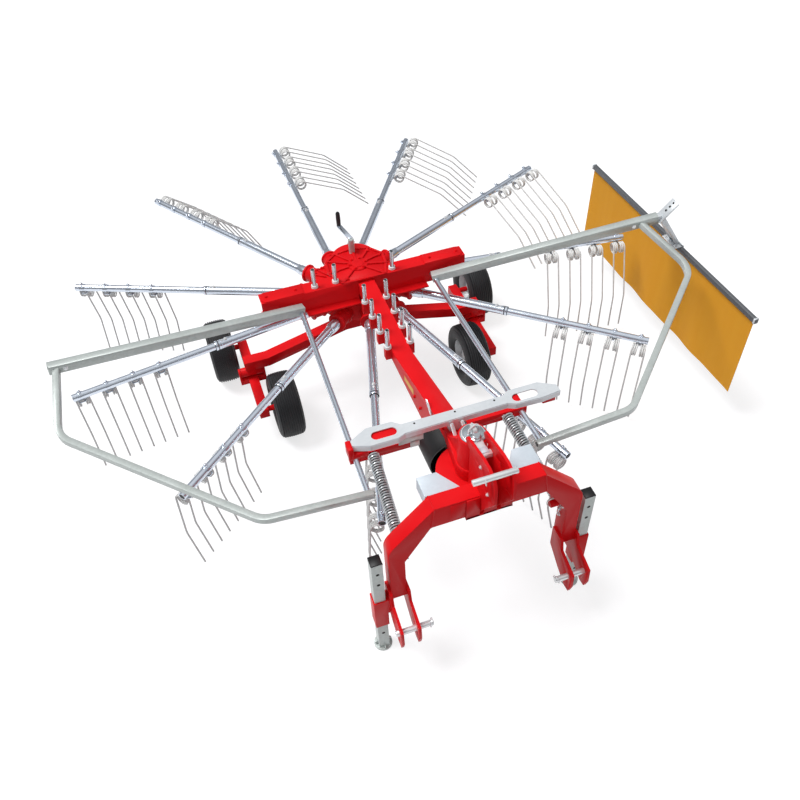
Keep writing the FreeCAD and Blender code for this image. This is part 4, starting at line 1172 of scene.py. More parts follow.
# ---------------------------------------------------------------- frame
@dataclass
class Chassis:
    """Main beam, cross beam, gear case, axle and what stands on them."""

    machine: Machine
    rounded: dict[str, float] = field(default_factory=lambda: {
        "gear_housing": 6.0, "main_beam": 4.0, "cross_beam": 6.0, "front_bar": 4.0, "axle": 7.0})
    beam_half: float = 45.0
    beam_top: float = 812.0
    cross_top: float = 826.0
    cross_y: float = -187.0
    peg_x: float = 59.0
    peg_length: float = 116.0
    peg_rows: tuple[float, ...] = (-401.0, -527.0, -650.0, -771.0)
    rear_pegs: tuple[Place, ...] = ((-276.0, -197.0, 826.0), (-160.0, -197.0, 826.0), (160.0, -197.0, 826.0))
    peg_foot: Outline = ((0, 11.2), (0, 19), (5, 19), (9, 17.5), (14.5, 17.5), (14.5, 11.2))
    cover: Outline = (
        (-162, -14), (-100, 36), (4, 52), (96, 24), (152, -50), (144, -140), (112, -228), (-126, -228),
        (-176, -120))
    cover_thick: float = 14.0
    cover_centre: tuple[float, float] = (-4.0, -96.0)
    cover_boss: Outline = ((-2, AXIS_R), (-2, 58), (8, 54), (8, 36), (13, 33), (13, AXIS_R))
    cover_bolt_r: float = 45.0
    cover_bolt_share: float = 0.8
    cover_bolt_shift: float = 9.0
    crank_foot: Place = (0.0, 25.0, 812.5)
    crank_height: float = 100.0
    crank_reach: tuple[float, float] = (-27.0, 140.0)
    crank_grip: float = 95.0
    latch_top: float = 1056.0
    latch_wall: float = 5.0
    latch_drop: float = 30.0
    slot_r: float = 22.0
    slots: tuple[Place, ...] = ((-310.0, -1497.0, 33.0), (315.0, -1508.0, 36.0))
    latch_outline: Outline = (
        (-463, -1512), (-448, -1486), (-373, -1444), (-262, -1448), (-228, -1475), (228, -1477), (258, -1458),
        (394, -1458), (466, -1500), (466, -1536), (380, -1545), (260, -1540), (228, -1524), (-228, -1527),
        (-262, -1541), (-380, -1541))
    latch_post: tuple[Place, Place] = ((-30, -1523, -88), (30, -1480, -4))
    catches: Spans = (
        ((-384, -1534, -26), (-244, -1462, -8)), ((252, -1536, -26), (292, -1470, -8)),
        ((-474, -1538, -62), (-452, -1484, 3)), ((-462, -1536, -62), (-392, -1500, -36)),
        ((392, -1532, -62), (452, -1500, -36)))
    latch_plates: Spans = (
        ((-256, -1521, -76), (-147, -1516, -28)), ((-205, -1521, -110), (-165, -1516, -70)))
    clamp_legs: Spans = (
        ((-25, -1572, 1001), (-30, -1536, 1044)), ((22, -1572, 1001), (17, -1536, 1044)))
    latch_holes: Outline = ((-176, -1490), (4, -1490), (182, -1490))
    label: Outline = ((-978, 776), (-1106, 797), (-1106, 832), (-978, 806))
    clip: Outline = (
        (-1285, 948), (-1298, 956), (-1320, 948), (-1346, 924), (-1352, 912), (-1340, 908), (-1316, 924),
        (-1294, 938), (-1285, 948))
    clip_stem: Outline = ((-1340, 918), (-1372, 896))
    side_bolts: Outline = ((-1485, 966), (-1200, 800), (-1120, 800))
    swivel_bolt: tuple[float, float] = (-1390.0, 945.0)
    flange_bolts: tuple[float, ...] = (380.0, 540.0)
    flange_tip: float = 545.0
    flange_round: tuple[float, float] = (28.0, 41.0)
    flange_root: float = 340.0
    flange_thick: float = 5.0
    weld_y: float = -231.0
    weld_heights: tuple[float, ...] = (745.0, 780.0, 810.0)

    def build_cover(self) -> None:
        """Ribbed casting over the gear case and the root of the cross beam."""
        machine = self.machine
        low = self.beam_top + 0.3
        top = low + self.cover_thick
        x, y = self.cover_centre
        rim = [(*corner, top) for corner in self.cover]
        shapes = [machine.plate([(*corner, low) for corner in self.cover], (0, 0, top - low))]
        shapes += [machine.rib((x, y, top), corner, width=11, height=9) for corner in rim]
        shapes += [machine.rib(first, last, width=13, height=7)
                   for first, last in zip(rim, rim[1:] + rim[:1])]
        shapes.append(machine.turned((x, y, top), UP, self.cover_boss, steps=32))
        machine.add("gear_cover", shapes, CAST_RED, "frame", soft_mm=3.0)
        places = [(x + self.cover_bolt_r * math.cos(angle), y + self.cover_bolt_r * math.sin(angle), top + 8)
                  for angle in (TURN * step / 6 for step in range(6))]
        places += [(x + (rim_x - x) * self.cover_bolt_share + self.cover_bolt_shift,
                    y + (rim_y - y) * self.cover_bolt_share, top) for rim_x, rim_y in self.cover]
        machine.heads("gear_cover_bolts", places, RED, "frame", across=8.5)

    def build_pegs(self) -> None:
        """White feet, dark discs of painted shade in the bores, and red sockets of the storage pegs."""
        machine = self.machine
        machine.soften("storage_pegs", 1.2, PEG_ZINC, "frame")
        places = [(side * self.peg_x, y, self.beam_top) for y in self.peg_rows for side in (-1, 1)]
        sockets = [machine.bar((x, y, z - 40), (x, y, z + 0.2), radius=18.0, steps=20, edge=2.0)
                   for x, y, z in places]
        places += list(self.rear_pegs)
        feet = [machine.turned((x, y, z + 0.5), UP, self.peg_foot) for x, y, z in places]
        # Black discs in the pegs' open ends: painted shade inside the bores.
        bore_shades = [machine.turned((x, y, z + self.peg_length - 3), UP, disc(-2, 0, 7.8), steps=12)
                 for x, y, z in places]
        machine.add("peg_feet", feet, PEG_WHITE, "frame", angle_deg=30)
        machine.add("peg_bores", bore_shades, BLACK, "frame")
        machine.add("peg_sockets", sockets, RED, "frame", angle_deg=30)

    def build_crank(self) -> None:
        """Height crank: tube post with its pin, flat arm and black grip."""
        machine = self.machine
        x, y, low = self.crank_foot
        height = self.crank_height
        top = low + height
        reach_x, reach_y = self.crank_reach
        handle = (x + reach_x, y + reach_y, top)
        tube = [(0, AXIS_R), (0, 21), (12, 21), (14, 16.5), (height, 16.5), (height + 4, 13),
                (height + 4, AXIS_R)]
        post = [machine.turned((x, y, low), UP, tube, steps=22),
                machine.bar((x - 20, y, top - 22), (x + 20, y, top - 22), radius=4.0, steps=10)]
        machine.add("crank_post", post, GALVANISED, "frame", angle_deg=30, nodes=["height_crank"],
                    slot="red_paint")
        arm = machine.rib((x, y, top), handle, width=26, height=8)
        knob = machine.turned(handle, UP, disc(0, 9, 13), steps=16)
        machine.add("crank_arm", [arm, knob], BRIGHT_ZINC, "frame", soft_mm=1.5)
        end = self.crank_grip
        grip = [(9, AXIS_R), (9, 10), (14, 12), (end * 0.5, 13), (end - 8, 12), (end - 1, 8), (end, AXIS_R)]
        machine.add("crank_grip", [machine.turned(handle, UP, grip, steps=18)], BLACK, "frame")

    def slot_edge(self, slot: Place) -> list[tuple[float, float]]:
        """Corners of a long hole, from its middle and half of its straight part."""
        x, y, reach = slot
        angles = [math.pi * (step + 0.5) / 8 for step in range(16)]
        return [(x + math.copysign(reach, math.sin(angle)) + self.slot_r * math.sin(angle),
                 y + self.slot_r * math.cos(angle)) for angle in angles]

    def under_latch(self, corners: Spans) -> list[Shape]:
        """Blocks whose heights count from the latch bar's top."""
        top = self.latch_top
        return [self.machine.brick((low[0], low[1], top + low[2]), (high[0], high[1], top + high[2]))
                for low, high in corners]

    def build_latch(self) -> None:
        """Latch bar with the red catches in its slots, its bracket and its clamp."""
        machine = self.machine
        top = self.latch_top
        edge = self.latch_outline
        foot = top - self.latch_drop
        holes = [self.slot_edge(slot) for slot in self.slots]
        bar = [machine.flat([edge, *holes], top - self.latch_wall, self.latch_wall)]
        bar += [machine.rib((*first, foot), (*last, foot), width=self.latch_wall, height=26)
                for first, last in zip(edge, edge[1:] + edge[:1])]
        bar += self.under_latch([self.latch_post])
        machine.add("latch_channel", bar, LATCH_ZINC, "frame", angle_deg=30, nodes=["latch_bar"])
        machine.add("guard_catches", self.under_latch(self.catches), RED, "frame", soft_mm=2.5)
        plates = self.under_latch(self.latch_plates)
        machine.add("latch_bracket", plates, GALVANISED, "frame", soft_mm=1.0)
        legs = [machine.bar(low, high, radius=8.0, steps=16, edge=2) for low, high in self.clamp_legs]
        machine.add("latch_clamp", legs, PIN_STEEL, "frame", angle_deg=30)
        # Dark discs set into the plate's top: painted shade where its holes are, which are not cut.
        dots = [machine.turned((x, y, top), UP, disc(-2, 0.4, 4.8), steps=10) for x, y in self.latch_holes]
        machine.add("latch_holes", dots, PAINTED_SHADE, "frame")

    def build_marks(self) -> None:
        """Blank label, linch pins and the small bolts on the beam."""
        machine = self.machine
        side = -self.beam_half - 0.4
        film = machine.plate([(side, y, z) for y, z in self.label], (-0.6, 0, 0))
        machine.add("blank_label", [film], YELLOW_FILM, "frame")
        wires = [[machine.at(side - 4, y, z) for y, z in path] for path in (self.clip, self.clip_stem)]
        machine.wires("beam_linch_pin", wires, PIN_STEEL, "frame", radius=2.6)
        heads = [(side, y, z) for y, z in self.side_bolts] + [(-self.beam_half, *self.swivel_bolt)]
        machine.heads("beam_side_bolts", heads, RED, "frame", across=7.0, axes=[-ACROSS] * len(heads))

    def build_joints(self) -> None:
        """Bolted flanges at the cross beam's ends and the weld beads along the beams."""
        machine = self.machine
        plates = []
        heads: list[Place] = []
        wide, deep = self.flange_round
        for side in (1, -1):
            heads += [(side * x, self.cross_y, self.cross_top + self.flange_thick) for x in self.flange_bolts]
            angles = [math.pi * step / 8 for step in range(9)]
            corners = [(side * (self.flange_tip + wide * math.sin(angle)),
                        self.cross_y + deep * math.cos(angle)) for angle in angles]
            corners += [(side * self.flange_root, self.cross_y - deep),
                        (side * self.flange_root, self.cross_y + deep)]
            plates.append(machine.plate([(x, y, self.cross_top - 0.2) for x, y in corners],
                                        (0, 0, self.flange_thick)))
        machine.add("cross_beam_plates", plates, RED, "frame", soft_mm=1.5)
        machine.heads("cross_beam_bolts", heads, RED, "frame", across=7.0)
        beads = [[machine.at(side * (self.beam_half + 1), self.weld_y, z) for z in self.weld_heights]
                 for side in (-1, 1)]
        machine.wires("beam_welds", beads, RED, "frame", radius=3.5)

    def build(self) -> None:
        """Round the welded and cast parts and finish the small ones."""
        for node, width in self.rounded.items():
            finish = CAST_RED if node == "gear_housing" else RED
            self.machine.soften(node, width, finish, "frame")
        self.build_cover()
        self.build_pegs()
        self.build_crank()
        self.build_latch()
        self.build_marks()
        self.build_joints()
        self.machine.dress("pto_guard", BLACK)
        self.machine.dress("pto_shaft", PIN_STEEL)
        LOG.info("chassis")


@dataclass
class Wheels:
    """Tyres and rims, and the bogies that carry them."""

    machine: Machine
    radius: float = 190.0
    width: float = 150.0
    rim_r: float = 100.0
    ribs: int = 9
    groove_share: float = 0.16
    groove: float = 6.0
    crown: float = 7.2
    steps: int = 64
    rim_steps: int = 48
    bolts: int = 5
    bolt_r: float = 57.0
    bolt_seat: float = 11.0
    rim_half: float = 53.0
    cap: Outline = ((33.5, AXIS_R), (33.5, 26), (38, 26), (42, 20), (43, AXIS_R))

    def tyre_outline(self) -> list[tuple[float, float]]:
        """Closed outline of the tyre: (along the axle, radius) in metres."""
        half = self.width / 2
        tread = self.radius
        side = [(half - 22, self.rim_r + 1), (half - 14, self.rim_r + 5), (half - 4, self.rim_r + 18),
                (half, self.rim_r + 38), (half - 1, self.rim_r + 52), (half - 4, tread - 24),
                (half - 7, tread - 22), (half - 8, tread - 16), (half - 14, tread - 8)]
        outline = list(side)
        span = half - 18
        for rib in range(self.ribs):
            left = span - 2 * span * rib / self.ribs
            right = span - 2 * span * (rib + 1) / self.ribs
            gap = (left - right) * self.groove_share
            high, low = (tread - self.crown * (edge / half) ** 2 for edge in (left, right))
            outline += [(left - gap, high - self.groove), (left - gap * 1.2, high),
                        (right + gap * 1.2, low), (right + gap, low - self.groove)]
        outline += [(-along, radius) for along, radius in reversed(side)]
        outline += [(-(half - 26), self.rim_r + 0.5), (half - 26, self.rim_r + 0.5)]
        return in_metres(outline)

    def rim_outline(self) -> list[tuple[float, float]]:
        """Closed outline of the rim: (along the axle, radius) in metres."""
        half = self.rim_half
        outer = [(half, 99.5), (half - 3, 96), (half - 12, 93), (half - 22, 84), (20, 80), (9, 76), (7, 62),
                 (14, 50), (12, 36), (33, 35), (34, 30), (34, 17)]
        return in_metres(outer + [(-along, radius) for along, radius in reversed(outer)])

    def build_bolts(self, name: str, centre: Vector) -> None:
        """Wheel bolts on both faces of the disc, and the hub's caps.

        Args:
            name: The wheel, as its nodes spell it.
            centre: Its middle in millimetres on the machine.
        """
        places: list[Place] = []
        axes = []
        caps = []
        for face in (1, -1):
            for bolt in range(self.bolts):
                angle = TURN * bolt / self.bolts
                places.append((centre.x + face * self.bolt_seat, centre.y + self.bolt_r * math.cos(angle),
                               centre.z + self.bolt_r * math.sin(angle)))
                axes.append(ACROSS * face)
            caps.append(self.machine.turned(centre, ACROSS * face, self.cap))
        self.machine.heads(f"wheel_bolts_{name}", places, PIN_STEEL, f"wheel_{name}", across=9.0,
                           axes=axes, lead=UP, slot="rim")
        self.machine.add(f"hub_caps_{name}", caps, RIM_PAINT, f"wheel_{name}", angle_deg=30)

    def build(self) -> None:
        """Make the four wheels and round the bogies."""
        machine = self.machine
        for side in Side:
            machine.soften(f"bogie_{side.word}", 5.0, RED, f"bogie_{side.word}")
            for end in ("front", "rear"):
                name = f"{end}_{side.word}"
                low, high = (Vector(corner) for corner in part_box(f"tyre_{name}"))
                centre = (low + high) / 2
                body = f"wheel_{name}"
                tread = spin(self.tyre_outline(), centre, ACROSS, self.steps)
                machine.add(f"tyre_tread_{name}", [tread], TYRE_RUBBER, body, angle_deg=32,
                            nodes=[f"tyre_{name}"])
                dish = spin(self.rim_outline(), centre, ACROSS, self.rim_steps)
                machine.add(f"rim_dish_{name}", [dish], RIM_PAINT, body, angle_deg=35, nodes=[f"rim_{name}"])
                self.build_bolts(name, (centre - machine.axis) / MM)
        LOG.info("wheels and bogies")


@dataclass
class Guards:
    """Folding tube guards with their hinge rods."""

    machine: Machine
    hinge_rear: Place = (378.0, -205.0, 752.3)
    hinge_front: Place = (410.0, -1540.0, 739.0)
    arm_root: Place = (378.0, -270.0, 752.0)
    corner_a: Place = (1599.0, -507.0, 974.0)
    corner_b: Place = (1640.0, -800.0, 827.0)
    corner_c: Place = (870.0, -1532.0, 771.0)
    tail: float = 24.0
    arm_side: float = 46.0
    arm_lift: float = 8.0
    arm_wall: float = 4.0
    arm_bore: float = 250.0
    arm_back: float = 12.0
    arm_past: dict[Side, float] = field(default_factory=lambda: {Side.LEFT: -15.0, Side.RIGHT: 22.0})
    hoop_back: dict[Side, float] = field(default_factory=lambda: {Side.LEFT: 112.0, Side.RIGHT: 12.0})
    hoop_side: float = 31.0
    hoop_sunk: float = 7.0
    hoop_bend: float = 110.0
    rod_r: float = 14.0
    bolt_back: float = 40.0
    rod_cap: Outline = ((-1, AXIS_R), (-1, 14.6), (4, 14.6), (6, 12), (6, AXIS_R))
    tail_cap: Outline = ((-1, AXIS_R), (-1, 13), (2.5, 12), (2.5, AXIS_R))

    def on(self, side: Side, place: Place) -> Vector:
        """A place of the +X guard, mirrored for the other side."""
        return Vector((side.value * place[0], place[1], place[2]))

    def arm_frame(self, side: Side) -> tuple[Vector, Vector, Vector]:
        """Directions of a guard's box arm: outwards, towards the hoop, and its lift in millimetres."""
        run = (self.on(side, self.corner_a) - self.on(side, self.arm_root)).normalized()
        across = run.cross(UP).normalized()
        if across.y > 0:
            across = -across
        return run, across, run.cross(UP).cross(run).normalized() * self.arm_lift

    def arm(self, side: Side) -> Shape:
        """Box arm from the hinge rod to its open end."""
        run, _, lift = self.arm_frame(side)
        mouth = self.on(side, self.corner_a) + run * self.arm_past[side] + lift
        root = self.on(side, self.arm_root) - run * self.arm_back + lift
        arm = self.machine.beam(root, mouth, self.arm_side, self.arm_side)
        bmesh.ops.recalc_face_normals(arm, faces=arm.faces)
        goal = self.machine.at(*mouth)
        face = min(arm.faces, key=lambda item: (item.calc_center_median() - goal).length)
        bmesh.ops.inset_region(arm, faces=[face], thickness=self.arm_wall * MM, use_even_offset=True)
        pushed = bmesh.ops.extrude_discrete_faces(arm, faces=[face])
        bmesh.ops.translate(arm, verts=pushed["faces"][0].verts, vec=-run * (self.arm_bore * MM))
        return arm

    def hoop(self, side: Side) -> Shape:
        """Bent square tube from the arm round to the front hinge and a little past it."""
        run, across, lift = self.arm_frame(side)
        joint = (self.on(side, self.corner_a) - run * self.hoop_back[side] + lift
                 + across * (self.arm_side / 2 - self.hoop_sunk))
        corners = [self.machine.at(*point) for point in (
            joint, self.on(side, self.corner_b), self.on(side, self.corner_c), self.tail_end(side))]
        return self.machine.tube(rounded(corners, self.hoop_bend * MM, 8), self.hoop_side)

    def tail_end(self, side: Side) -> Vector:
        """Middle of the hoop's front end."""
        front = self.on(side, self.hinge_front)
        return front + (front - self.on(side, self.corner_c)).normalized() * self.tail

    def build_frame(self, side: Side) -> None:
        """Weld arm and hoop into one frame, on its hinge rod."""
        machine = self.machine
        body = f"guard_{side.word}"
        frame = [self.arm(side), self.hoop(side)]
        machine.add(f"guard_frame_{side.word}", frame, GALVANISED, body, soft_mm=3.0, nodes=[body])
        rod = machine.bar(self.on(side, self.hinge_rear), self.on(side, self.hinge_front), radius=self.rod_r,
                          steps=24, edge=1.5)
        machine.add(f"guard_rod_{side.word}", [rod], BRIGHT_ZINC, body, angle_deg=30)
        run, across, lift = self.arm_frame(side)
        lock = (self.on(side, self.corner_a) - run * (self.hoop_back[side] + self.bolt_back) + lift
                + across * (self.arm_side / 2 + 0.5))
        machine.heads(f"guard_bolt_{side.word}", [lock], PIN_STEEL, body, across=8.0, axes=[across])

    def build_caps(self, side: Side) -> None:
        """Black caps in the ends of the hinge rod and of the hoop."""
        machine = self.machine
        rear = self.on(side, self.hinge_rear)
        front = self.on(side, self.hinge_front)
        end = self.tail_end(side)
        caps = [machine.turned(rear, rear - front, self.rod_cap),
                machine.turned(front, front - rear, self.rod_cap),
                machine.turned(end, front - self.on(side, self.corner_c), self.tail_cap)]
        machine.add(f"guard_caps_{side.word}", caps, BLACK, f"guard_{side.word}", angle_deg=30)

    def build(self) -> None:
        """Make both guards."""
        for side in Side:
            self.build_frame(side)
            self.build_caps(side)
        LOG.info("guards")


@dataclass
class Headstock:
    """Arch, mast, pins, stands and centring springs."""

    machine: Machine
    wire: float = 4.0
    coil_r: float = 24.0
    pitch: float = 12.5
    coil_steps: int = 14
    coil_rear: Place = (326.0, -1350.0, 752.0)
    coil_front: Place = (355.0, -1786.0, 693.0)
    core_rear: Place = (326.0, -1346.0, 752.0)
    spring_neck: tuple[Place, ...] = (
        (318, -1337, 752), (312, -1340, 752), (306, -1344, 752), (304, -1348, 752))
    spring_hook: tuple[Place, ...] = (
        (356, -1796, 692), (355, -1815, 690), (352, -1836, 688), (348, -1853, 684), (346, -1859, 674),
        (346, -1852, 663), (348, -1840, 662))
    arch_y: float = -1845.0
    arch_front: float = -1880.0
    arch_plates: tuple[tuple[float, float], ...] = ((-104, -46), (46, 98), (-29, 29))
    arch_plate_z: tuple[float, float] = (862.0, 984.0)
    leg_weld: Outline = ((238, 989), (252, 876))
    mast_weld_x: float = 45.0
    mast_weld_z: tuple[float, ...] = (985.0, 920.0, 864.0)
    hook_z: float = 741.0
    hook_boss: tuple[tuple[int, ...], ...] = ((366, 312, 0, 27, 28, 4), (330, 290, -12, 19, 20, 3))
    hook_clip: Outline = ((312, 762), (296, 764), (284, 756), (281, 742), (284, 728), (296, 720), (312, 722))
    leg_bolts: Outline = ((0, 674), (14, 600))
    leg_bolt_x: float = 366.0
    top_pin: Place = (-68.0, -1962.0, 1203.0)
    top_stem: Outline = ((0, 12), (1, 0), (3, -30))
    link: tuple[float, float] = (-1998.0, 345.0)
    link_inner: float = 290.0
    mast_bolts: Outline = ((-1939.0, 1070.0), (-1866.0, 1151.0))
    mast_bolt_x: float = 44.2
    pivot_y: float = -1687.0
    boss_top: float = 1128.0
    washers: Outline = (
        (0.4, AXIS_R), (0.4, 52), (4, 53), (5, 49), (5, 45), (10.5, 45), (11, 40), (15, 40), (16, 37),
        (16, AXIS_R))
    nut: Outline = ((0, AXIS_R), (0, 22), (9, 22), (11, 18), (20, 18), (22, 15), (22, AXIS_R))
    stand_x: float = 484.0
    stand_half: float = 25.0
    stand_top: float = 708.0
    stand_cap: float = 6.0
    stand_holes: tuple[float, ...] = (640.0, 560.0, 300.0, 220.0, 140.0)
    foot_top: float = 9.0
    foot_half: float = 40.0

    def spring_path(self, rear: Vector, front: Vector) -> Path:
        """Coil of a centring spring.

        Args:
            rear: Middle of the coil's rear end, in metres.
            front: Middle of its front end.

        Returns:
            The wire's points in metres.
        """
        run = front - rear
        turn = facing(run)
        steps = int(run.length / (self.pitch * MM)) * self.coil_steps
        path = []
        for step in range(steps + 1):
            angle = TURN * step / self.coil_steps
            path.append(rear + turn @ Vector((self.coil_r * MM * math.cos(angle),
                                              self.coil_r * MM * math.sin(angle), run.length * step / steps)))
        return path

    def build_springs(self) -> None:
        """Make the two centring springs, hooked to the front bar and to a bolt on each leg, with a dark rod
        of painted shade inside each coil.
        """
        machine = self.machine
        paths = []
        shade_cores = []
        for side in (1, -1):
            rear, front, core, *ends = (
                Vector((side * x, y, z)) for x, y, z in (
                    self.coil_rear, self.coil_front, self.core_rear, *self.spring_neck, *self.spring_hook))
            # A dark rod inside each coil: painted shade that fills the gaps between the turns.
            shade_cores.append(machine.bar(core, front, radius=self.coil_r - self.wire - 1, steps=16))
            wire_ends = [machine.at(*point) for point in ends]
            neck = wire_ends[:len(self.spring_neck)]
            hook = wire_ends[len(self.spring_neck):]
            paths.append(neck + self.spring_path(machine.at(*rear), machine.at(*front)) + hook)
        coils = machine.kit.sweep.make(polyline(paths), "centring_spring_coils", SPRING_STEEL,
                                       Radius=self.wire * MM, Sides=8)
        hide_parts("centring_springs")
        dark = machine.piece("spring_cores", joined(shade_cores), PAINTED_SHADE)
        for piece, slot in ((coils, "galvanised"), (dark, "black_plastic")):
            machine.at(0, -1360, 740)
            machine.at(0, -1780, 740)
            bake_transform(piece)

    def build_arch(self) -> None:
        """Reinforcing plates, weld seams and bolts of the arch."""
        machine = self.machine
        front = self.arch_front
        low, high = self.arch_plate_z
        plates = [machine.brick((left, front - 6, low), (right, front - 0.3, high))
                  for left, right in self.arch_plates]
        left = self.arch_plates[0][0]
        right = self.arch_plates[1][1]
        plates += [machine.brick((left, front - 6, low), (right, front + 66, low + 11.6)),
                   machine.brick((left - 68, front - 3, low + 22), (left, front - 0.3, high - 4))]
        machine.add("arch_plates", plates, RED, "headstock", soft_mm=2.0)
        top, foot = self.leg_weld
        seams = []
        for side in (-1, 1):
            seams.append([machine.at(side * top[0], front + y, top[1] + 1.5) for y in (0, 35, 70)])
            seams.append([machine.at(side * x, front - 0.5, z) for x, z in (top, foot)])
            seams.append([machine.at(side * self.mast_weld_x, front - 1, z) for z in self.mast_weld_z])
        machine.wires("arch_welds", seams, RED, "headstock", radius=2.6)
        z = self.hook_z
        boss = [machine.bar((start, self.arch_y + y, z), (end, self.arch_y + y, z), radius, steps, edge)
                for start, end, y, radius, steps, edge in self.hook_boss]
        machine.add("hook_boss", boss, RED, "headstock", angle_deg=30)
        loop = [machine.at(x, self.arch_y - 6, z) for x, z in self.hook_clip]
        machine.wires("hook_clip", [loop], PIN_STEEL, "headstock", radius=3.2)
        nuts = [(side * self.leg_bolt_x, self.arch_y + y, z) for y, z in self.leg_bolts for side in (-1, 1)]
        machine.heads("leg_bolts", nuts, PIN_STEEL, "headstock", across=9.0,
                      axes=[ACROSS, -ACROSS] * len(self.leg_bolts), lead=UP)

    def build_pins(self) -> None:
        """Linch pins and rings that lock the top-link pin and the lower-link pins."""
        machine = self.machine
        x, y, z = self.top_pin
        stems = [[machine.at(x + lean, y - 2, z + height) for lean, height in self.top_stem]]
        rings = [machine.ring((x, y - 3, z - 7), Vector((1, -0.4, 0.2)), radius=17)]
        link_y, link_z = self.link
        for side in (1, -1):
            end = side * (self.link_inner + 9)
            stems.append([machine.at(end, link_y, link_z + height) for height in (24, 0, -24)])
            rings.append(machine.ring((end, link_y, link_z + 2), Vector((side, 0.3, 0.2)), radius=21))
        machine.wires("linch_pins", stems, PIN_STEEL, "headstock", radius=4.2)
        machine.wires("linch_rings", rings, PIN_STEEL, "headstock", radius=2.2)
        heads = [(side * self.mast_bolt_x, y, z) for y, z in self.mast_bolts for side in (-1, 1)]
        machine.heads("mast_bolts", heads, PIN_STEEL, "headstock", across=6.0,
                      axes=[-ACROSS, ACROSS] * len(self.mast_bolts), lead=UP)

    def build_swivel(self) -> None:
        """Stacked washers and nut of the swivel, and the block on its flag."""
        machine = self.machine
        top = self.boss_top
        stack = [machine.turned((0, self.pivot_y, top), UP, self.washers, steps=36),
                 machine.turned((0, self.pivot_y - 30, top + 10), UP, self.nut, steps=24)]
        machine.add("swivel_washers", stack, PEG_ZINC, "headstock", angle_deg=30)
        block = machine.brick((-21, self.pivot_y - 113, top - 14), (21, self.pivot_y - 83, top + 14))
        machine.add("swivel_flag_block", [block], SHEET_ZINC, "headstock", soft_mm=2.5)
        rings = [machine.ring((0, self.pivot_y - 4, top + 30), Vector((0.3, -1, 0)), radius=25),
                 machine.ring((0, self.pivot_y + 8, top + 24), Vector((1, -0.2, 0)), radius=20)]
        machine.wires("swivel_rings", rings, PIN_STEEL, "headstock", radius=5.0)

    def build_stand(self, side: Side) -> None:
        """Round a parking stand and add its cap, dark discs of painted shade for its holes, and its foot's
        ribs.
        """
        machine = self.machine
        body = f"stand_{side.word}"
        machine.soften(body, 3.0, GALVANISED, body)
        x = side.value * self.stand_x
        y = self.arch_y
        half = self.stand_half
        lip = half + 0.5
        top = self.stand_top
        cap = machine.brick((x - lip, y - lip, top), (x + lip, y + lip, top + self.stand_cap))
        machine.add(f"stand_cap_{side.word}", [cap], BLACK, body, soft_mm=2.0)
        # Dark discs on the stand's front: painted shade where its holes are, which are not cut.
        holes = [machine.turned((x, y - half, z), AHEAD, disc(-1, 0.5, 8), steps=14)
                 for z in self.stand_holes]
        machine.add(f"stand_holes_{side.word}", holes, PAINTED_SHADE, body)
        z = self.foot_top
        reach = self.foot_half
        ribs = [machine.rib(start, end, width=5, height=26) for start, end in (
            ((x - reach, y, z), (x - half, y, z)), ((x + half, y, z), (x + reach, y, z)),
            ((x, y - reach, z), (x, y - half, z)))]
        machine.add(f"stand_ribs_{side.word}", ribs, GALVANISED, body, soft_mm=1.0)

    def build(self) -> None:
        """Make the headstock."""
        for node, width, finish, slot in (
                ("headstock_arch", 6.0, RED, ""), ("headstock_mast", 2.5, RED, ""),
                ("pivot_pin", 2.0, PIN_STEEL, ""), ("link_pins", 2.0, PIN_STEEL, ""),
                ("spring_boxes", 2.0, SHEET_ZINC, "red_paint")):
            self.machine.soften(node, width, finish, "headstock", slot)
        for side in Side:
            self.build_stand(side)
        self.build_springs()
        self.build_arch()
        self.build_pins()
        self.build_swivel()
        LOG.info("headstock")


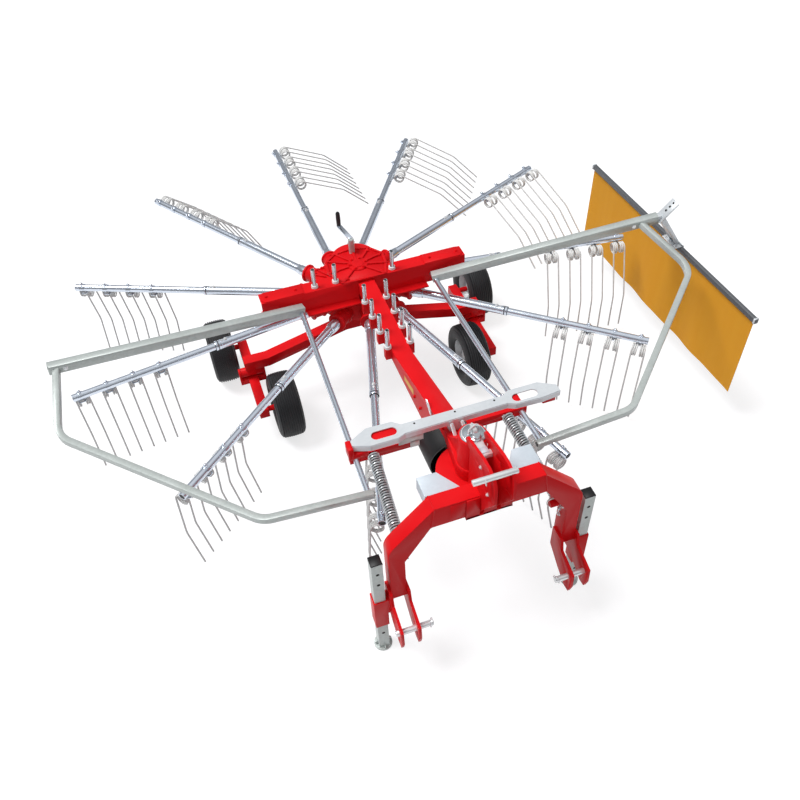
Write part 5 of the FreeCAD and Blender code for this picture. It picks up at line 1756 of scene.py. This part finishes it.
@dataclass
class Curtain:
    """Hanging cloth on its rail."""

    machine: Machine
    columns: int = 120
    rows: int = 36
    fold: float = 7.0
    top_share: float = 0.15
    waves: tuple[tuple[float, float, float], ...] = ((23.0, 0.0, 0.5), (41.0, 1.3, 0.3), (9.0, 0.0, 0.4))
    cloth_thick: float = 2.0
    end_band: float = 4.0
    rail_front: Place = (1782.0, -1209.0, 744.0)
    rail_rear: Place = (1741.0, 425.0, 744.0)
    rail_size: tuple[float, float] = (22.0, 28.0)
    clip_size: tuple[float, float] = (26.0, 32.0)
    clip_reach: tuple[float, float] = (14.0, 2.0)
    mouth: Place = (1637.7, -514.5, 981.0)
    arm_way: Place = (1221.0, -237.0, 222.0)
    arm_lift: float = 8.0
    knee_back: float = 44.0
    slide_inside: float = 276.0
    slide_side: float = 36.0
    knee_rise: Place = (78.0, -8.0, 84.0)
    bracket_width: float = 66.0
    seat_x: float = 1764.8
    seat_y: float = 30.0
    seat_z: float = 14.0
    seat_bolts: tuple[float, float] = (-50.0, 50.0)
    hole_shares: tuple[float, ...] = (0.42, 0.66, 0.88)

    def rail_ends(self) -> list[Shape]:
        """Clips round the rail's two ends."""
        front = Vector(self.rail_front)
        rear = Vector(self.rail_rear)
        run = (rear - front).normalized()
        inner, outer = self.clip_reach
        return [self.machine.beam(end - way * inner, end - way * outer, *self.clip_size)
                for end, way in ((front, -run), (rear, run))]

    def build_bracket(self) -> None:
        """Bent zinc bracket that slides in the guard's box arm and carries the rail."""
        machine = self.machine
        mouth = Vector(self.mouth)
        arm = Vector(self.arm_way).normalized()
        lift = arm.cross(UP).cross(arm).normalized() * self.arm_lift
        knee = mouth - arm * self.knee_back + lift
        top = knee + Vector(self.knee_rise)
        seat = Vector((self.seat_x, knee.y + self.seat_y, self.rail_front[2] + self.seat_z))
        width = self.bracket_width
        half = width / 2
        bracket = [machine.beam(mouth - arm * self.slide_inside + lift, knee + arm * 8, self.slide_side,
                                self.slide_side),
                   machine.beam(knee - Vector((10, 0, 18)), top, width=width, height=7),
                   machine.beam(knee, seat, width=width, height=8)]
        bracket += [machine.beam(knee + Vector((9, offset, 0)), seat + Vector((9, offset, -16)), width=5,
                                 height=24) for offset in (-half, half)]
        along = Vector((0, width, 0))
        for shift, wide, high in ((Vector((-22, 0, 3)), 48, 5), (Vector((14, 0, -12)), 5, 34)):
            bracket.append(machine.beam(seat + shift - along, seat + shift + along, wide, high))
        machine.add("rail_bracket", bracket, LATCH_ZINC, "curtain_carrier", soft_mm=1.5)
        places = [(seat.x - 34, seat.y + offset, seat.z + 5.5) for offset in self.seat_bolts]
        machine.heads("rail_bracket_bolts", places, PIN_STEEL, "curtain_carrier", across=9.0)
        rise = top - knee
        face = rise.cross(UP).cross(rise).normalized()
        # Dark discs on the bracket's face: painted shade where its holes are, which are not cut.
        holes = [machine.turned(knee + rise * share + face * 4.4, face, disc(-2, 0.4, 6), steps=14)
                 for share in self.hole_shares]
        machine.add("rail_bracket_holes", holes, PAINTED_SHADE, "curtain_carrier")

    def build_rail(self) -> None:
        """Make the rail with its end clips, and its bracket."""
        machine = self.machine
        # The rail's dark grey is painted shade on a galvanised rail.
        bar = machine.beam(self.rail_front, self.rail_rear, *self.rail_size)
        machine.add("curtain_rail_bar", [bar], SHADE_GREY_RAIL, "curtain_carrier", soft_mm=2.0,
                    nodes=["curtain_rail"])
        machine.add("rail_end_clips", self.rail_ends(), LATCH_ZINC, "curtain_carrier", soft_mm=2.0)
        self.build_bracket()

    def sway(self, share: float) -> float:
        """How far the cloth stands out of its plane at a share of its length, from -1 to 1 or so."""
        return sum(math.sin(share * rate + shift) * size for rate, shift, size in self.waves)

    def cloth(self, front: Vector, run: Vector, drop: float) -> Shape:
        """Grid of faces, hung from a level line, with its own map in metres.

        Args:
            front: Front end of the line.
            run: From the front end to the rear end.
            drop: How far the cloth hangs down.

        Returns:
            The cloth's faces, without thickness.
        """
        out = Vector((run.y, -run.x, 0)).normalized()
        shape = bmesh.new()
        grid = []
        for column in range(self.columns + 1):
            share = column / self.columns
            line = []
            for row in range(self.rows + 1):
                depth = row / self.rows
                push = self.fold * MM * self.sway(share) * (self.top_share + (1 - self.top_share) * depth)
                line.append(shape.verts.new(front + run * share + out * push - Vector((0, 0, drop * depth))))
            grid.append(line)
        layer = shape.loops.layers.uv.new(CLOTH_MAP)
        for column in range(self.columns):
            for row in range(self.rows):
                corners = ((column, row), (column + 1, row), (column + 1, row + 1), (column, row + 1))
                face = shape.faces.new([grid[c][r] for c, r in corners])
                for loop, (c, r) in zip(face.loops, corners):
                    loop[layer].uv = (run.length * c / self.columns, drop * r / self.rows)
        return shape

    def build_cloth(self) -> None:
        """Hang the cloth where its node hangs."""
        low, high = (Vector(corner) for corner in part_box("curtain"))
        points = self.machine.points("curtain")
        band = self.end_band * MM
        front = Vector(points[points[:, 1] < low.y + band].mean(axis=0))
        rear = Vector(points[points[:, 1] > high.y - band].mean(axis=0))
        front.z = rear.z = high.z
        run = rear - front
        drop = high.z - low.z
        shape = self.cloth(front, run, drop)
        mesh = bpy.data.meshes.new("curtain_cloth")
        shape.to_mesh(mesh)
        shape.free()
        cloth = placed("curtain_cloth", mesh)
        mesh.materials.append(CLOTH.material())
        skin = cloth.modifiers.new("thickness", "SOLIDIFY")
        skin.thickness = self.cloth_thick * MM
        skin.offset = 0
        settle(cloth, 60)
        self.machine.keep(cloth, "curtain_carrier", "curtain_cloth", "curtain")

    def build(self) -> None:
        """Finish the rail and hang the cloth."""
        self.build_rail()
        self.build_cloth()
        LOG.info("curtain")


# ---------------------------------------------------------------- studio
@dataclass
class Studio:
    """Floor, backdrop, lamps and camera."""

    machine: Machine
    eye: Place = (-879.5, -3581.3, 3558.8)
    right: Place = (0.94318, -0.33049, -0.03440)
    up: Place = (0.26382, 0.68188, 0.68223)
    lens: float = 36.455
    sensor: float = 36.0
    clip_end: float = 100.0
    key: float = 2.15
    key_spread: float = 25.0
    key_tilt: tuple[float, float] = (-10.0, -26.0)
    glow: float = 0.72
    floor_grey: str = "#A8A8AA"
    floor_half: float = 30.0
    horizon: tuple[float, ...] = (0.34, 0.36, 0.39, 1.0)
    zenith: tuple[float, ...] = (0.8, 0.8, 0.8, 1.0)
    dome: Outline = ((0.12, 0.19), (0.4, 0.22), (0.62, 0.32), (0.8, 0.7))
    dome_blue: float = 1.03

    def camera(self) -> None:
        """Place the camera."""
        lens = bpy.data.cameras.new("camera")
        lens.lens = self.lens
        lens.sensor_width = self.sensor
        lens.sensor_fit = "HORIZONTAL"
        lens.clip_end = self.clip_end
        eye = placed("camera", lens)
        right = Vector(self.right)
        up = Vector(self.up)
        place = Matrix((right, up, right.cross(up))).transposed().to_4x4()
        place.translation = self.machine.at(*self.eye)
        eye.matrix_world = place
        bpy.context.scene.camera = eye

    def seen_rays(self, tree: Tree) -> Socket:
        """1 for rays from the camera and through gloss or glass, else 0."""
        path = add_node(tree, "ShaderNodeLightPath")
        first = add_node(tree, "ShaderNodeMath", {
            0: path.outputs["Is Camera Ray"], 1: path.outputs["Is Glossy Ray"]}, operation="ADD")
        both = add_node(tree, "ShaderNodeMath", {
            0: first.outputs[0], 1: path.outputs["Is Transmission Ray"]}, operation="ADD", use_clamp=True)
        return both.outputs[0]

    def floor(self) -> None:
        """Lay the pale floor, which keeps the object's shadow."""
        mesh = bpy.data.meshes.new("floor")
        half = self.floor_half
        corners = [(-half, -half, 0), (half, -half, 0), (half, half, 0), (-half, half, 0)]
        mesh.from_pydata(corners, [], [(0, 1, 2, 3)])
        floor = placed("floor", mesh)
        material = bpy.data.materials.new("white_studio_floor")
        material.use_nodes = True
        tree = material.node_tree
        tree.nodes.clear()
        matt = add_node(tree, "ShaderNodeBsdfDiffuse", {"Color": linear(self.floor_grey)})
        glow = add_node(tree, "ShaderNodeEmission", {"Color": (1, 1, 1, 1), "Strength": self.glow})
        black = add_node(tree, "ShaderNodeEmission", {"Strength": 0.0})
        lit = add_node(tree, "ShaderNodeMixShader", {
            0: self.seen_rays(tree), 1: black.outputs[0], 2: glow.outputs[0]})
        both = add_node(tree, "ShaderNodeAddShader", {0: matt.outputs[0], 1: lit.outputs[0]})
        add_node(tree, "ShaderNodeOutputMaterial", {"Surface": both.outputs[0]})
        mesh.materials.append(material)

    def sky(self) -> None:
        """Dome that is bright overhead and dim towards the horizon, as softboxes leave it."""
        world = bpy.data.worlds.new("studio")
        bpy.context.scene.world = world
        world.use_nodes = True
        tree = world.node_tree
        tree.nodes.clear()
        way = add_node(tree, "ShaderNodeTexCoord").outputs["Generated"]
        height = add_node(tree, "ShaderNodeSeparateXYZ", {0: way})
        ramp = add_node(tree, "ShaderNodeValToRGB", {0: height.outputs[2]})
        stops = ramp.color_ramp.elements
        for stop, position, colour in zip(list(stops), (0.0, 1.0), (self.horizon, self.zenith)):
            stop.position = position
            stop.color = colour
        for position, level in self.dome:
            stop = stops.new(position)
            stop.color = (level, level, level * self.dome_blue, 1)
        sky = add_node(tree, "ShaderNodeBackground", {"Color": ramp.outputs["Color"], "Strength": 1.0})
        add_node(tree, "ShaderNodeOutputWorld", {"Surface": sky.outputs[0]})

    def lamps(self) -> None:
        """Hang one broad soft sun over the machine."""
        light = bpy.data.lights.new("overhead", "SUN")
        light.energy = self.key
        light.angle = math.radians(self.key_spread)
        lamp = placed("overhead", light)
        lamp.rotation_euler = (*(math.radians(tilt) for tilt in self.key_tilt), 0)

    def build(self) -> None:
        """Set up the studio."""
        bpy.context.scene.view_settings.view_transform = "Standard"
        self.camera()
        self.floor()
        self.sky()
        self.lamps()
        LOG.info("studio")


def main() -> None:
    """Load the frame and build each sub-assembly around it."""
    logging.basicConfig(level=logging.INFO, format="%(name)s: %(message)s")
    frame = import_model()
    machine = Machine(frame, Kit())
    for part in (Rotor(machine), Chassis(machine), Wheels(machine), Guards(machine), Headstock(machine),
                 Curtain(machine), Studio(machine)):
        part.build()


if __name__ == "__main__":
    main()
